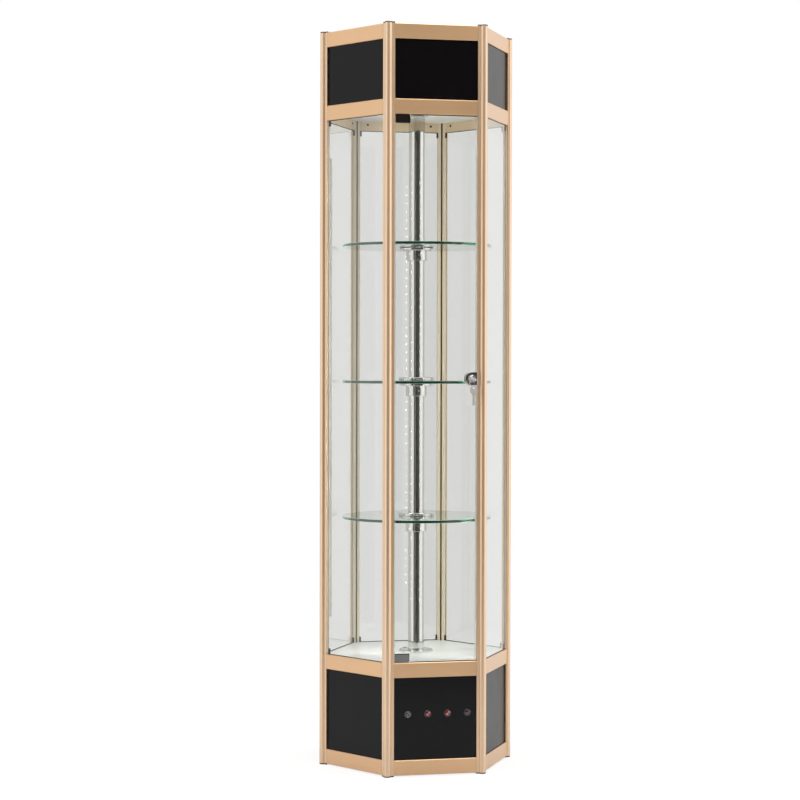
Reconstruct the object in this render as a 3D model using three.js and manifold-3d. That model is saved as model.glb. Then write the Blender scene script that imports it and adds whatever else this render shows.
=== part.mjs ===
// A revolving glass display cabinet on a hexagonal plan: six posts and four rings of rails in
// champagne-coloured aluminium, glass sides and a glass door with a lock, black panels above and
// below, and a motor-driven pole that carries three round glass shelves.
// Millimetres, +Z up. The door faces -Y, and the origin is on the floor under the pole.

import * as THREE from "three";
import * as BufferGeometryUtils from "three/addons/utils/BufferGeometryUtils.js";
import Module from "manifold-3d";

const wasm = await Module();
wasm.setup();

// Overall sizes
const totalHeight = 1980;
const sideLength = 258; // from post centre to post centre along one side
const deckHeight = 300; // top of the deck rails, where the display space starts
const canopyHeight = 240; // from the underside of the canopy rails to the top of the posts

// Clearances
const fitGap = 0.3; // between neighbouring pieces
const cutOverrun = 2; // how far a cut runs past the face that it opens
const slotPlay = 0.4; // between a pane and each wall of its slot

// Posts: a round bead at the corner, a wing along each side and a nose towards the inside
const beadDiameter = 20;
const wingReach = 17; // from the bead's centre to the wing's tip
const faceProud = 4; // outer faces of wings and rails, outside the line of post centres
const frameDepth = 13.5; // depth of wings and rails from their outer to their inner face
const noseWidth = 8;
const noseReach = 16; // from the bead's centre to the nose's tip
const capHeight = 3; // closed end of a post, which stands past the rails
const postBoreDiameter = 11;
const postFloor = 10; // solid length at the foot of a post
const capVentDiameter = 4;

// Rails, the same extrusion at all four levels
const railHeight = 40;
const railWall = 1.8;
const railChamfer = 1.5;
const slotDepth = 9;
const slotSetback = 4.1; // from the outer face of a rail to its slot
const paneEngagement = 8; // how far a pane or panel reaches into a slot
const ledgeWidth = 20;
const ledgeThickness = 3;

// Panes, panels and boards
const paneThickness = 5;
const panelThickness = 4;
const floorBoardThickness = 12;
const floorBoardBase = 16; // underside of the floor board
const deckBoardThickness = 12;
const ceilingBoardThickness = 8;
const ceilingRecess = 26; // from the underside of the canopy rails to the ceiling
const roofBoardThickness = 10;
const roofRecess = 2; // below the top of the top rails

// Pole and its bearings
const poleDiameter = 44;
const poleWall = 2;
const spindleDiameter = 30; // lower end of the pole, inside the base
const spindleWall = 3;
const spindleLength = 150; // below the pole's shoulder
const topSpindleDiameter = 20;
const topSpindleLength = 16;
const bearingFlangeDiameter = 93;
const bearingFlangeThickness = 7;
const bearingBarrelDiameter = 64;
const bearingBarrelLength = 34; // below the deck board's top
const bearingSeatDepth = 20; // from the flange's top down to the shoulder's seat
const topFlangeDiameter = 66;
const topFlangeThickness = 6;
const topBarrelDiameter = 40;
const poleTopGap = 1; // between the pole's upper shoulder and the top bearing

// Shelves and what clamps them to the pole
const shelfPostGap = 58; // from a post's centre to a shelf's rim
const shelfThickness = 8;
const firstShelfHeight = 364; // underside of the lowest shelf above the deck
const shelfPitch = 369;
const hubFlangeDiameter = 93;
const hubFlangeThickness = 6;
const hubSleeveDiameter = 58;
const hubSleeveLength = 29;
const hubNeckDiameter = 51;
const clampRingDiameter = 98;
const clampRingThickness = 8;
const clampRingChamfer = 2;
const setScrewDiameter = 6;
const setScrewCount = 2;

// Drive
const gearModule = 3;
const gearTeeth = 48;
const pinionTeeth = 12;
const toothAngle = 18; // degrees, of a tooth's flank
const toothAboveShare = 0.8; // of the module, from the pitch circle to the tip
const toothBelowShare = 1.1; // of the module, from the pitch circle to the root
const toothSlack = 0.8; // removed from the thickness of each tooth at the pitch circle
const gearThickness = 12;
const gearHubDiameter = 52;
const gearHubLength = 24;
const gearDrop = 178; // from the deck down to the drive gear's underside
const pinionThickness = 16;
const motorShaftDiameter = 8;
const motorShaftSocket = 12; // how far the motor's shaft stands in the pinion
const motorPinionGap = 2;
const motorDiameter = 62;
const motorGearboxWidth = 84;
const motorGearboxHeight = 32;
const motorFootThickness = 4;
const motorFootOverhang = 12;

// Power supply and inlet
const supplyLength = 150;
const supplyDepth = 56;
const supplyHeight = 42;
const supplyInset = 130; // from the circle of post centres to the supply's middle
const supplyRimThickness = 3;
const supplyRimOverhang = 10;
const inletWidth = 28;
const inletHeight = 20;
const inletDepth = 24;
const inletPlateWidth = 50;
const inletPlateHeight = 26;
const inletPlateThickness = 2.5;
const inletWellDepth = 16;
const inletWellWall = 2.5;
const inletPinWidth = 4;
const inletPinThickness = 2;
const inletPinPitch = 7;
const inletPostGap = 59; // from a post's centre to the inlet's middle
const inletZ = 92;

// Light strips on the inner noses of two posts
const stripWidth = 8;
const stripDepth = 8;
const stripWall = 1.2;
const stripLength = 1240;

// Door: a bare glass pane on two pivot clamps
const doorHingeClearance = 2.5; // between the hinge-side wing and the door's edge
const doorLockClearance = 3.5; // between the lock-side wing and the door's edge
const doorRailClearance = 4; // between the rails and the door's upper and lower edges
const clampLength = 38;
const clampHeight = 21;
const clampThickness = 13;
const clampPivotInset = 16; // from the clamp's end to its pivot
const clampRailGap = 0.6;
const pivotPinDiameter = 8;
const pivotPinLength = 7;
const pivotPlay = 0.3;

// Lock, its key and the spare key on a ring
const lockHeight = 1047; // of the lock's axis above the floor
const lockWidth = 33;
const lockTall = 36;
const lockFrontThickness = 9;
const lockRearThickness = 4;
const lockPostGap = 1;
const lockAxisInset = 15; // from the post's wing to the lock's axis
const plugDiameter = 15;
const plugHeadDiameter = 17;
const plugHeadThickness = 1.5;
const camThickness = 2;
const camWidth = 8;
const camBehindPost = 3.6; // how far the locked cam reaches behind the wing's tip
const camPostGap = 2.7;
const bowThickness = 1.8;
const bowDiameter = 17;
const bowNeckWidth = 8;
const bowNeckLength = 3;
const bowHoleDiameter = 6;
const bowHoleRim = 3.5; // between the hole and the bow's outer end
const bowTilt = 45; // degrees between the bow and the horizontal, unlocked and locked
const keyRingRadius = 11;
const keyRingWire = 1.8;
const spareBowWidth = 20;
const spareBowHeight = 25;
const spareBladeWidth = 7;
const spareBladeLength = 27;
const spareTurn = 70; // degrees, of the spare key about the upright

// Controls on the front base panel
const controlCount = 4;
const controlPostGap = 48; // from a post's centre to the nearest control, before the shift
const controlShift = 7; // the row stands right of the panel's middle
const controlHeight = 163; // above the floor
const controlDiameter = 14;
const controlPlay = 0.3;
const buttonProud = 3.5; // how far a button's cap stands in front of the panel
const buttonDome = 1.2;
const switchProud = 3;
const switchSlotWidth = 2.4;
const switchSlotDepth = 2;
const switchTilt = 45; // degrees between the key slot and the horizontal
const retainerDiameter = 18;
const retainerThickness = 3;
const stemLength = 14; // behind the retainer
const stemDiameter = 8;

// Counts of sides on round pieces
const fineSides = 56;
const roundSides = 32;
const smallSides = 16;
const tinySides = 10;

// Places worked out from the sizes
const postRadius = sideLength; // a hexagon's corners are one side from its middle
const apothem = (sideLength * Math.sqrt(3)) / 2;
const frameInner = frameDepth - faceProud; // inner faces, inside the line of post centres
const slotWidth = paneThickness + 2 * slotPlay;
const slotFront = slotSetback - faceProud;
const slotMiddle = slotFront + slotWidth / 2;
const railLength = sideLength - 2 * (wingReach + fitGap);
const bottomRailBase = capHeight;
const deckRailBase = deckHeight - railHeight;
const canopyRailBase = totalHeight - canopyHeight;
const topRailBase = totalHeight - capHeight - railHeight;
const paneWidth = sideLength - 2 * (wingReach - paneEngagement);
const wingInnerCorner = wingReach * 0.5 + frameInner * Math.cos(Math.PI / 6);
const cornerApothem = postRadius - Math.max(noseReach, wingInnerCorner) - fitGap;
const boardApothem = apothem - frameInner - fitGap;
const openingHalfWidth = sideLength / 2 - wingReach; // from the middle of a side to a wing's tip
const shelfRadius = postRadius - shelfPostGap;
const gearHeight = deckHeight - gearDrop;
const supplyCentreY = supplyInset - postRadius;
const inletX = sideLength / 2 - inletPostGap;
const controlPitch = (sideLength - 2 * controlPostGap) / (controlCount - 1);

// Finishes
const champagne = { color: 0xc9a37a, roughness: 0.32, metalness: 0.9 };
const blackPanel = { color: 0x1b1819, roughness: 0.28, metalness: 0.0 };
const clearGlass = { color: 0xdfe8e4, roughness: 0.03, metalness: 0.0, transparent: true, opacity: 0.25 };
const shelfGlass = { color: 0xc4dad0, roughness: 0.03, metalness: 0.0, transparent: true, opacity: 0.35 };
const whiteBoard = { color: 0xe4e4e2, roughness: 0.5, metalness: 0.0 };
const blackBoard = { color: 0x242222, roughness: 0.6, metalness: 0.0 };
const chrome = { color: 0xd8d8d6, roughness: 0.08, metalness: 1.0 };
const nickel = { color: 0xb4b2ac, roughness: 0.22, metalness: 1.0 };
const bronze = { color: 0x2c211c, roughness: 0.35, metalness: 0.8 };
const satinSteel = { color: 0x8c8c8a, roughness: 0.35, metalness: 1.0 };
const steel = { color: 0x77787a, roughness: 0.4, metalness: 1.0 };
const motorGrey = { color: 0x3e4043, roughness: 0.5, metalness: 0.3 };
const whiteNylon = { color: 0xe8e6df, roughness: 0.55, metalness: 0.0 };
const blackPlastic = { color: 0x161616, roughness: 0.45, metalness: 0.0 };
const stripWhite = { color: 0xf2efe6, roughness: 0.4, metalness: 0.1 };
const redLens = { color: 0xd8332c, roughness: 0.25, metalness: 0.0 };
const plumLens = { color: 0x4b3644, roughness: 0.3, metalness: 0.0 };

const cabinet = new THREE.Group();

// A closed three.js geometry as a solid that can be cut and joined
function solidOf(geometry) {
  const bare = geometry.clone();
  bare.deleteAttribute("normal");
  bare.deleteAttribute("uv");
  const merged = BufferGeometryUtils.mergeVertices(bare, 1e-4);
  return new wasm.Manifold(
    new wasm.Mesh({
      numProp: 3,
      vertProperties: merged.attributes.position.array,
      triVerts: new Uint32Array(merged.index.array),
    }),
  );
}

// A solid as a named mesh in a parent group
function addPiece(parent, name, solid, finish) {
  const data = solid.getMesh();
  const shared = new THREE.BufferGeometry();
  shared.setAttribute("position", new THREE.BufferAttribute(data.vertProperties, 3));
  shared.setIndex(new THREE.BufferAttribute(data.triVerts, 1));
  const geometry = shared.toNonIndexed();
  geometry.computeVertexNormals();
  const mesh = new THREE.Mesh(geometry, new THREE.MeshStandardMaterial(finish));
  mesh.name = name;
  parent.add(mesh);
  return mesh;
}

function union(solids) {
  return solids.reduce((whole, piece) => whole.add(piece));
}

function cut(solid, cutters) {
  return cutters.reduce((rest, cutter) => rest.subtract(cutter), solid);
}

// A block between two corners
function block(from, to) {
  const size = to.map((value, axis) => value - from[axis]);
  const middle = to.map((value, axis) => (value + from[axis]) / 2);
  const geometry = new THREE.BoxGeometry(...size);
  geometry.translate(...middle);
  return solidOf(geometry);
}

// An upright cylinder between two heights
function drum(diameter, base, top, sides, x = 0, y = 0) {
  const geometry = new THREE.CylinderGeometry(diameter / 2, diameter / 2, top - base, sides);
  geometry.rotateX(Math.PI / 2);
  geometry.translate(x, y, (base + top) / 2);
  return solidOf(geometry);
}

// A cylinder along Y, from the front to the back
function barrel(diameter, front, back, sides, x = 0, z = 0) {
  const geometry = new THREE.CylinderGeometry(diameter / 2, diameter / 2, back - front, sides);
  geometry.translate(x, (front + back) / 2, z);
  return solidOf(geometry);
}

// A profile of [radius, height] points turned about the upright axis
function turned(points, sides) {
  const profile = points.map(([radius, height]) => new THREE.Vector2(radius, height));
  const geometry = new THREE.LatheGeometry(profile, sides);
  geometry.rotateX(Math.PI / 2);
  return solidOf(geometry);
}

// An outline of [x, y] points raised from one height to another
function prism(points, base, top) {
  const outline = new THREE.Shape(points.map(([x, y]) => new THREE.Vector2(x, y)));
  const geometry = new THREE.ExtrudeGeometry(outline, { depth: top - base, bevelEnabled: false });
  geometry.translate(0, 0, base);
  return solidOf(geometry);
}

// A hexagonal plate whose flat sides are at a distance from the axis, turned by an angle
function hexagon(flatDistance, base, top, turn) {
  const radius = flatDistance / Math.cos(Math.PI / 6);
  const geometry = new THREE.CylinderGeometry(radius, radius, top - base, 6);
  geometry.rotateX(Math.PI / 2);
  geometry.rotateZ(turn + Math.PI / 2);
  geometry.translate(0, 0, (base + top) / 2);
  return solidOf(geometry);
}

function moved(solid, x, y, z) {
  return solid.translate([x, y, z]);
}

// Six corners, each a group whose +X points out, and six sides, each a group whose +X runs to the
// right as seen from outside, whose +Y points in, and whose origin is on the line of post centres
const corners = {};
const cornerDegrees = {
  right: 0,
  rear_right: 60,
  rear_left: 120,
  left: 180,
  front_left: 240,
  front_right: 300,
};
for (const [name, degrees] of Object.entries(cornerDegrees)) {
  const angle = THREE.MathUtils.degToRad(degrees);
  const corner = new THREE.Group();
  corner.position.set(postRadius * Math.cos(angle), postRadius * Math.sin(angle), 0);
  corner.rotation.z = angle;
  cabinet.add(corner);
  corners[name] = corner;
}

const sides = {};
const sideDegrees = {
  front: 270,
  front_right: 330,
  rear_right: 30,
  rear: 90,
  rear_left: 150,
  front_left: 210,
};
for (const [name, degrees] of Object.entries(sideDegrees)) {
  const angle = THREE.MathUtils.degToRad(degrees);
  const side = new THREE.Group();
  side.position.set(apothem * Math.cos(angle), apothem * Math.sin(angle), 0);
  side.rotation.z = angle + Math.PI / 2;
  cabinet.add(side);
  sides[name] = side;
}

// Posts. A wing runs along each side, and the slot in its end holds a pane or a panel. The hand is
// 1 for the side to the left of the post as seen from outside, and -1 for the other.
function wing(hand) {
  const outer = hand > 0 ? -faceProud : -frameInner;
  const solid = block([0, outer, 0], [wingReach, outer + frameDepth, totalHeight]);
  return solid.rotate([0, 0, hand * 120]);
}

function wingSlot(hand) {
  const outer = hand > 0 ? slotFront : -slotFront - slotWidth;
  const slot = block(
    [wingReach - slotDepth, outer, -cutOverrun],
    [wingReach + cutOverrun, outer + slotWidth, totalHeight + cutOverrun],
  );
  return slot.rotate([0, 0, hand * 120]);
}

function postSolid() {
  const bead = drum(beadDiameter, 0, totalHeight, roundSides);
  const noseTip = drum(noseWidth, 0, totalHeight, smallSides, noseWidth / 2 - noseReach);
  const nose = block([noseWidth / 2 - noseReach, -noseWidth / 2, 0], [0, noseWidth / 2, totalHeight]);
  const bore = drum(postBoreDiameter, postFloor, totalHeight - capHeight, smallSides);
  const vent = drum(capVentDiameter, totalHeight / 2, totalHeight + cutOverrun, tinySides);
  return cut(union([bead, wing(1), wing(-1), nose, noseTip]), [wingSlot(1), wingSlot(-1), bore, vent]);
}

const post = postSolid();
for (const [name, corner] of Object.entries(corners)) {
  addPiece(corner, "post_" + name, post, champagne);
}

// Rails: the outline of one extrusion, across (inwards) and up, with a slot in the upper or lower edge
function railOutline(slotAbove, slotBelow) {
  const outer = -faceProud;
  const inner = frameInner;
  const near = slotFront;
  const far = slotFront + slotWidth;
  const points = [
    [outer, railChamfer],
    [outer + railChamfer, 0],
  ];
  if (slotBelow) {
    points.push([near, 0], [near, slotDepth], [far, slotDepth], [far, 0]);
  }
  points.push([inner, 0], [inner, railHeight]);
  if (slotAbove) {
    const floor = railHeight - slotDepth;
    points.push([far, railHeight], [far, floor], [near, floor], [near, railHeight]);
  }
  points.push([outer + railChamfer, railHeight], [outer, railHeight - railChamfer]);
  return points;
}

function railSolid(slotAbove, slotBelow) {
  const half = railLength / 2;
  const along = prism(railOutline(slotAbove, slotBelow), -half, half);
  const hollow = block(
    [railWall - faceProud, slotDepth + railWall, -half - cutOverrun],
    [frameInner - railWall, railHeight - slotDepth - railWall, half + cutOverrun],
  );
  const turn = new THREE.Matrix4().makeBasis(
    new THREE.Vector3(0, 1, 0),
    new THREE.Vector3(0, 0, 1),
    new THREE.Vector3(1, 0, 0),
  );
  return along.subtract(hollow).transform(turn.elements);
}

// A hexagonal plate that clears the posts at its corners
function cornerCutPlate(flatDistance, clearance, base, top) {
  const plate = hexagon(flatDistance, base, top, 0);
  const corner = hexagon(cornerApothem - clearance, base - cutOverrun, top + cutOverrun, Math.PI / 6);
  return plate.intersect(corner);
}

// One ring: six rails and the flat ledge that joins them behind the posts and carries a board
function ringSolid(base, ledgeBase, slotAbove, slotBelow, doorSide) {
  const rails = Object.entries(sides).map(([name, side]) => {
    side.updateMatrix();
    const above = slotAbove && !(name === "front" && doorSide === "above");
    const below = slotBelow && !(name === "front" && doorSide === "below");
    return moved(railSolid(above, below), 0, 0, base).transform(side.matrix.elements);
  });
  const ledgeTop = ledgeBase + ledgeThickness;
  const outer = cornerCutPlate(apothem - frameInner + railWall / 2, 0, ledgeBase, ledgeTop);
  const inner = hexagon(
    apothem - frameInner - ledgeWidth,
    ledgeBase - cutOverrun,
    ledgeTop + cutOverrun,
    0,
  );
  return union([...rails, outer.subtract(inner)]);
}

// Door places, in the frame of the front side
const hingeWingX = -openingHalfWidth;
const lockWingX = openingHalfWidth;
const doorLeft = hingeWingX + doorHingeClearance;
const doorRight = lockWingX - doorLockClearance;
const pivotX = doorLeft + clampPivotInset;
const doorBottom = deckHeight + doorRailClearance;
const doorTop = canopyRailBase - doorRailClearance;
const paneMiddle = slotMiddle;

function pivotHole(from, to) {
  const pivotY = paneMiddle - apothem;
  return drum(pivotPinDiameter + 2 * pivotPlay, from, to, smallSides, pivotX, pivotY);
}

const deckLedgeBase = deckHeight - deckBoardThickness - fitGap - ledgeThickness;
const floorLedgeBase = floorBoardBase - fitGap - ledgeThickness;
const ceilingBase = canopyRailBase + ceilingRecess;
const ceilingLedgeBase = ceilingBase + ceilingBoardThickness + fitGap;
const roofTop = totalHeight - capHeight - roofRecess;
const roofLedgeBase = roofTop - roofBoardThickness - fitGap - ledgeThickness;
const pinSocket = pivotPinLength + fitGap;

const bottomRing = ringSolid(bottomRailBase, floorLedgeBase, true, false, "");
const deckRing = cut(ringSolid(deckRailBase, deckLedgeBase, true, true, "above"), [
  pivotHole(deckHeight - pinSocket, deckHeight + cutOverrun),
]);
const canopyRing = cut(ringSolid(canopyRailBase, ceilingLedgeBase, true, true, "below"), [
  pivotHole(canopyRailBase - cutOverrun, canopyRailBase + pinSocket),
]);
const topRing = ringSolid(topRailBase, roofLedgeBase, false, true, "");
addPiece(cabinet, "bottom_rail_ring", bottomRing, champagne);
addPiece(cabinet, "deck_rail_ring", deckRing, champagne);
addPiece(cabinet, "canopy_rail_ring", canopyRing, champagne);
addPiece(cabinet, "top_rail_ring", topRing, champagne);

// A flat pane or panel that stands in the slots of two posts and two rails
function slotPane(thickness, base, top) {
  const front = paneMiddle - thickness / 2;
  return block([-paneWidth / 2, front, base], [paneWidth / 2, front + thickness, top]);
}

// Black panels. The front one of the base has the holes for the controls.
const basePanelBase = bottomRailBase + railHeight - paneEngagement;
const basePanelTop = deckRailBase + paneEngagement;
const canopyPanelBase = canopyRailBase + railHeight - paneEngagement;
const canopyPanelTop = topRailBase + paneEngagement;
const controlX = [-1.5, -0.5, 0.5, 1.5].map((share) => share * controlPitch + controlShift);
const panelFront = paneMiddle - panelThickness / 2;
const panelBack = paneMiddle + panelThickness / 2;

for (const [name, side] of Object.entries(sides)) {
  let basePanel = slotPane(panelThickness, basePanelBase, basePanelTop);
  if (name === "front") {
    const holes = controlX.map((x) =>
      barrel(
        controlDiameter + 2 * controlPlay,
        panelFront - cutOverrun,
        panelBack + cutOverrun,
        smallSides,
        x,
        controlHeight,
      ),
    );
    basePanel = cut(basePanel, holes);
  }
  if (name === "rear") {
    const inletHole = block(
      [inletX - inletWidth / 2 - fitGap, panelFront - cutOverrun, inletZ - inletHeight / 2 - fitGap],
      [inletX + inletWidth / 2 + fitGap, panelBack + cutOverrun, inletZ + inletHeight / 2 + fitGap],
    );
    basePanel = basePanel.subtract(inletHole);
  }
  addPiece(side, "base_panel_" + name, basePanel, blackPanel);
  addPiece(
    side,
    "canopy_panel_" + name,
    slotPane(panelThickness, canopyPanelBase, canopyPanelTop),
    blackPanel,
  );
}

// Fixed glass on every side but the front, where the door is
const paneBase = deckHeight - paneEngagement;
const paneTop = canopyRailBase + paneEngagement;
for (const [name, side] of Object.entries(sides)) {
  if (name !== "front") {
    addPiece(side, "glass_" + name, slotPane(paneThickness, paneBase, paneTop), clearGlass);
  }
}

// Boards: base floor, white deck, white ceiling and roof
const deckBase = deckHeight - deckBoardThickness;
const floorBoard = cornerCutPlate(
  boardApothem,
  fitGap,
  floorBoardBase,
  floorBoardBase + floorBoardThickness,
);
const deckHole = drum(
  bearingBarrelDiameter + 2 * fitGap,
  deckBase - cutOverrun,
  deckHeight + cutOverrun,
  roundSides,
);
const deckBoard = cornerCutPlate(boardApothem, fitGap, deckBase, deckHeight).subtract(deckHole);
const ceilingHole = drum(
  topBarrelDiameter + 2 * fitGap,
  ceilingBase - cutOverrun,
  ceilingBase + ceilingBoardThickness + cutOverrun,
  roundSides,
);
const ceilingBoard = cornerCutPlate(
  boardApothem,
  fitGap,
  ceilingBase,
  ceilingBase + ceilingBoardThickness,
).subtract(ceilingHole);
const roofBoard = cornerCutPlate(boardApothem, fitGap, roofTop - roofBoardThickness, roofTop);
addPiece(cabinet, "floor_board", floorBoard, blackBoard);
addPiece(cabinet, "deck_board", deckBoard, whiteBoard);
addPiece(cabinet, "ceiling_board", ceilingBoard, whiteBoard);
addPiece(cabinet, "roof_board", roofBoard, blackBoard);

// Foot bearing: a flange on the deck, a barrel through it and a seat for the pole's shoulder
const footFlangeBase = deckHeight + fitGap;
const footFlangeTop = footFlangeBase + bearingFlangeThickness;
const poleSeat = footFlangeTop - bearingSeatDepth;
const footBearing = turned(
  [
    [spindleDiameter / 2 + fitGap, deckHeight - bearingBarrelLength],
    [bearingBarrelDiameter / 2, deckHeight - bearingBarrelLength],
    [bearingBarrelDiameter / 2, footFlangeBase],
    [bearingFlangeDiameter / 2, footFlangeBase],
    [bearingFlangeDiameter / 2, footFlangeTop - bearingFlangeThickness / 3],
    [bearingFlangeDiameter / 2 - bearingFlangeThickness / 3, footFlangeTop],
    [poleDiameter / 2 + fitGap, footFlangeTop],
    [poleDiameter / 2 + fitGap, poleSeat],
    [spindleDiameter / 2 + fitGap, poleSeat],
    [spindleDiameter / 2 + fitGap, deckHeight - bearingBarrelLength],
  ],
  roundSides,
);
addPiece(cabinet, "foot_bearing", footBearing, chrome);

// Top bearing: a flange under the ceiling and a closed barrel through it
const topFlangeBase = ceilingBase - fitGap - topFlangeThickness;
const topBarrelTop = ceilingBase + ceilingBoardThickness + topSpindleLength / 2;
const poleTop = topFlangeBase - poleTopGap;
const topBearing = turned(
  [
    [topSpindleDiameter / 2 + fitGap, topFlangeBase],
    [topFlangeDiameter / 2, topFlangeBase],
    [topFlangeDiameter / 2, ceilingBase - fitGap],
    [topBarrelDiameter / 2, ceilingBase - fitGap],
    [topBarrelDiameter / 2, topBarrelTop],
    [topSpindleDiameter / 2 + fitGap, topBarrelTop],
    [topSpindleDiameter / 2 + fitGap, topFlangeBase],
  ],
  roundSides,
);
addPiece(cabinet, "top_bearing", topBearing, chrome);

// Pole: a tube, stepped at both ends, open at its lower end
const poleBottom = poleSeat + fitGap;
const pole = turned(
  [
    [0, poleTop - poleWall],
    [poleDiameter / 2 - poleWall, poleTop - poleWall],
    [poleDiameter / 2 - poleWall, poleBottom + poleWall],
    [spindleDiameter / 2 - spindleWall, poleBottom + poleWall],
    [spindleDiameter / 2 - spindleWall, poleBottom - spindleLength],
    [spindleDiameter / 2, poleBottom - spindleLength],
    [spindleDiameter / 2, poleBottom],
    [poleDiameter / 2, poleBottom],
    [poleDiameter / 2, poleTop],
    [topSpindleDiameter / 2, poleTop],
    [topSpindleDiameter / 2, poleTop + topSpindleLength],
    [0, poleTop + topSpindleLength],
  ],
  roundSides,
);
addPiece(cabinet, "pole", pole, chrome);

// Shelves: a round glass plate on a hub that is screwed to the pole, with a clamp ring above it.
// The heights in these pieces are measured from the underside of the glass.
const hubNeckTop = shelfThickness + clampRingThickness;
const hubBore = poleDiameter / 2 + fitGap;
const hubFlangeBase = -fitGap - hubFlangeThickness;
const hub = turned(
  [
    [hubBore, hubFlangeBase - hubSleeveLength],
    [hubSleeveDiameter / 2, hubFlangeBase - hubSleeveLength],
    [hubSleeveDiameter / 2, hubFlangeBase],
    [hubFlangeDiameter / 2, hubFlangeBase],
    [hubFlangeDiameter / 2, -fitGap],
    [hubNeckDiameter / 2, -fitGap],
    [hubNeckDiameter / 2, hubNeckTop],
    [hubBore, hubNeckTop],
    [hubBore, hubFlangeBase - hubSleeveLength],
  ],
  roundSides,
);
const setScrewHoles = Array.from({ length: setScrewCount }, (_, index) =>
  moved(
    barrel(setScrewDiameter, -hubSleeveDiameter, -poleDiameter / 4, tinySides),
    0,
    0,
    hubFlangeBase - hubSleeveLength / 2,
  ).rotate([0, 0, (index * 360) / setScrewCount]),
);
const hubWithHoles = cut(hub, setScrewHoles);
const shelfHole = hubNeckDiameter / 2 + fitGap;
const shelf = turned(
  [
    [shelfHole, 0],
    [shelfRadius, 0],
    [shelfRadius, shelfThickness],
    [shelfHole, shelfThickness],
    [shelfHole, 0],
  ],
  fineSides,
);
const ringBase = shelfThickness + fitGap;
const ringTop = ringBase + clampRingThickness;
const clampRing = turned(
  [
    [shelfHole, ringBase],
    [clampRingDiameter / 2, ringBase],
    [clampRingDiameter / 2, ringTop - clampRingChamfer],
    [clampRingDiameter / 2 - clampRingChamfer, ringTop],
    [shelfHole, ringTop],
    [shelfHole, ringBase],
  ],
  roundSides,
);
["lower", "middle", "upper"].forEach((name, index) => {
  const level = new THREE.Group();
  level.position.z = deckHeight + firstShelfHeight + index * shelfPitch;
  cabinet.add(level);
  addPiece(level, "shelf_glass_" + name, shelf, shelfGlass);
  addPiece(level, "shelf_hub_" + name, hubWithHoles, chrome);
  addPiece(level, "clamp_ring_" + name, clampRing, chrome);
});

// Gears: straight-flanked teeth on a disc. A tooth's thickness is given at root, pitch and tip.
function gearOutline(teeth) {
  const pitchRadius = (teeth * gearModule) / 2;
  const flank = Math.tan(THREE.MathUtils.degToRad(toothAngle));
  const halfPitch = (Math.PI * gearModule) / 4 - toothSlack / 2;
  const above = toothAboveShare * gearModule;
  const below = toothBelowShare * gearModule;
  const rootRadius = pitchRadius - below;
  const tipRadius = pitchRadius + above;
  const rootHalf = halfPitch + below * flank;
  const tipHalf = halfPitch - above * flank;
  const points = [];
  for (let tooth = 0; tooth < teeth; tooth += 1) {
    const middle = (tooth * 2 * Math.PI) / teeth;
    const places = [
      [rootRadius, -rootHalf],
      [tipRadius, -tipHalf],
      [tipRadius, tipHalf],
      [rootRadius, rootHalf],
    ];
    for (const [radius, offset] of places) {
      const angle = middle + offset / radius;
      points.push([radius * Math.cos(angle), radius * Math.sin(angle)]);
    }
  }
  return points;
}

const gearBore = spindleDiameter + 2 * fitGap;
const gearTop = gearHeight + gearThickness;
const driveGear = cut(
  union([
    prism(gearOutline(gearTeeth), gearHeight, gearTop),
    drum(gearHubDiameter, gearHeight, gearHeight + gearHubLength, roundSides),
  ]),
  [drum(gearBore, gearHeight - cutOverrun, gearHeight + gearHubLength + cutOverrun, roundSides)],
);
addPiece(cabinet, "drive_gear", driveGear, whiteNylon);

// The motor stands behind the pole, one centre distance away, and its pinion meshes at the gear's
// rear. The pinion is turned so that one of its gaps meets the gear's tooth there.
const centreDistance = (gearModule * (gearTeeth + pinionTeeth)) / 2;
const pinionBase = gearHeight - (pinionThickness - gearThickness) / 2;
const motorStation = new THREE.Group();
motorStation.position.y = centreDistance;
cabinet.add(motorStation);
const shaftHole = drum(
  motorShaftDiameter + 2 * fitGap,
  pinionBase - cutOverrun,
  pinionBase + motorShaftSocket + fitGap,
  smallSides,
);
const pinionTurn = ((gearTeeth / 4 + 1 / 2) * 360) / pinionTeeth - 90;
const pinion = prism(gearOutline(pinionTeeth), pinionBase, pinionBase + pinionThickness)
  .rotate([0, 0, pinionTurn])
  .subtract(shaftHole);
addPiece(motorStation, "motor_pinion", pinion, steel);

const motorBase = floorBoardBase + floorBoardThickness + fitGap;
const gearboxTop = pinionBase - motorPinionGap;
const gearboxBase = gearboxTop - motorGearboxHeight;
const halfGearbox = motorGearboxWidth / 2;
const halfFoot = halfGearbox + motorFootOverhang;
const motor = union([
  block([-halfFoot, -halfGearbox, motorBase], [halfFoot, halfGearbox, motorBase + motorFootThickness]),
  drum(motorDiameter, motorBase, gearboxTop, roundSides),
  block([-halfGearbox, -halfGearbox, gearboxBase], [halfGearbox, halfGearbox, gearboxTop]),
  drum(motorShaftDiameter, gearboxBase, pinionBase + motorShaftSocket, smallSides),
]);
addPiece(motorStation, "motor_body", motor, motorGrey);

// Power supply on the floor board, in front of the pole
const halfSupply = supplyLength / 2;
const supply = union([
  block([-halfSupply, -supplyDepth / 2, motorBase], [halfSupply, supplyDepth / 2, motorBase + supplyHeight]),
  block(
    [-halfSupply - supplyRimOverhang, -supplyDepth / 2, motorBase],
    [halfSupply + supplyRimOverhang, supplyDepth / 2, motorBase + supplyRimThickness],
  ),
]);
const supplyMesh = addPiece(cabinet, "power_supply", supply, blackPlastic);
supplyMesh.position.y = supplyCentreY;

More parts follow.
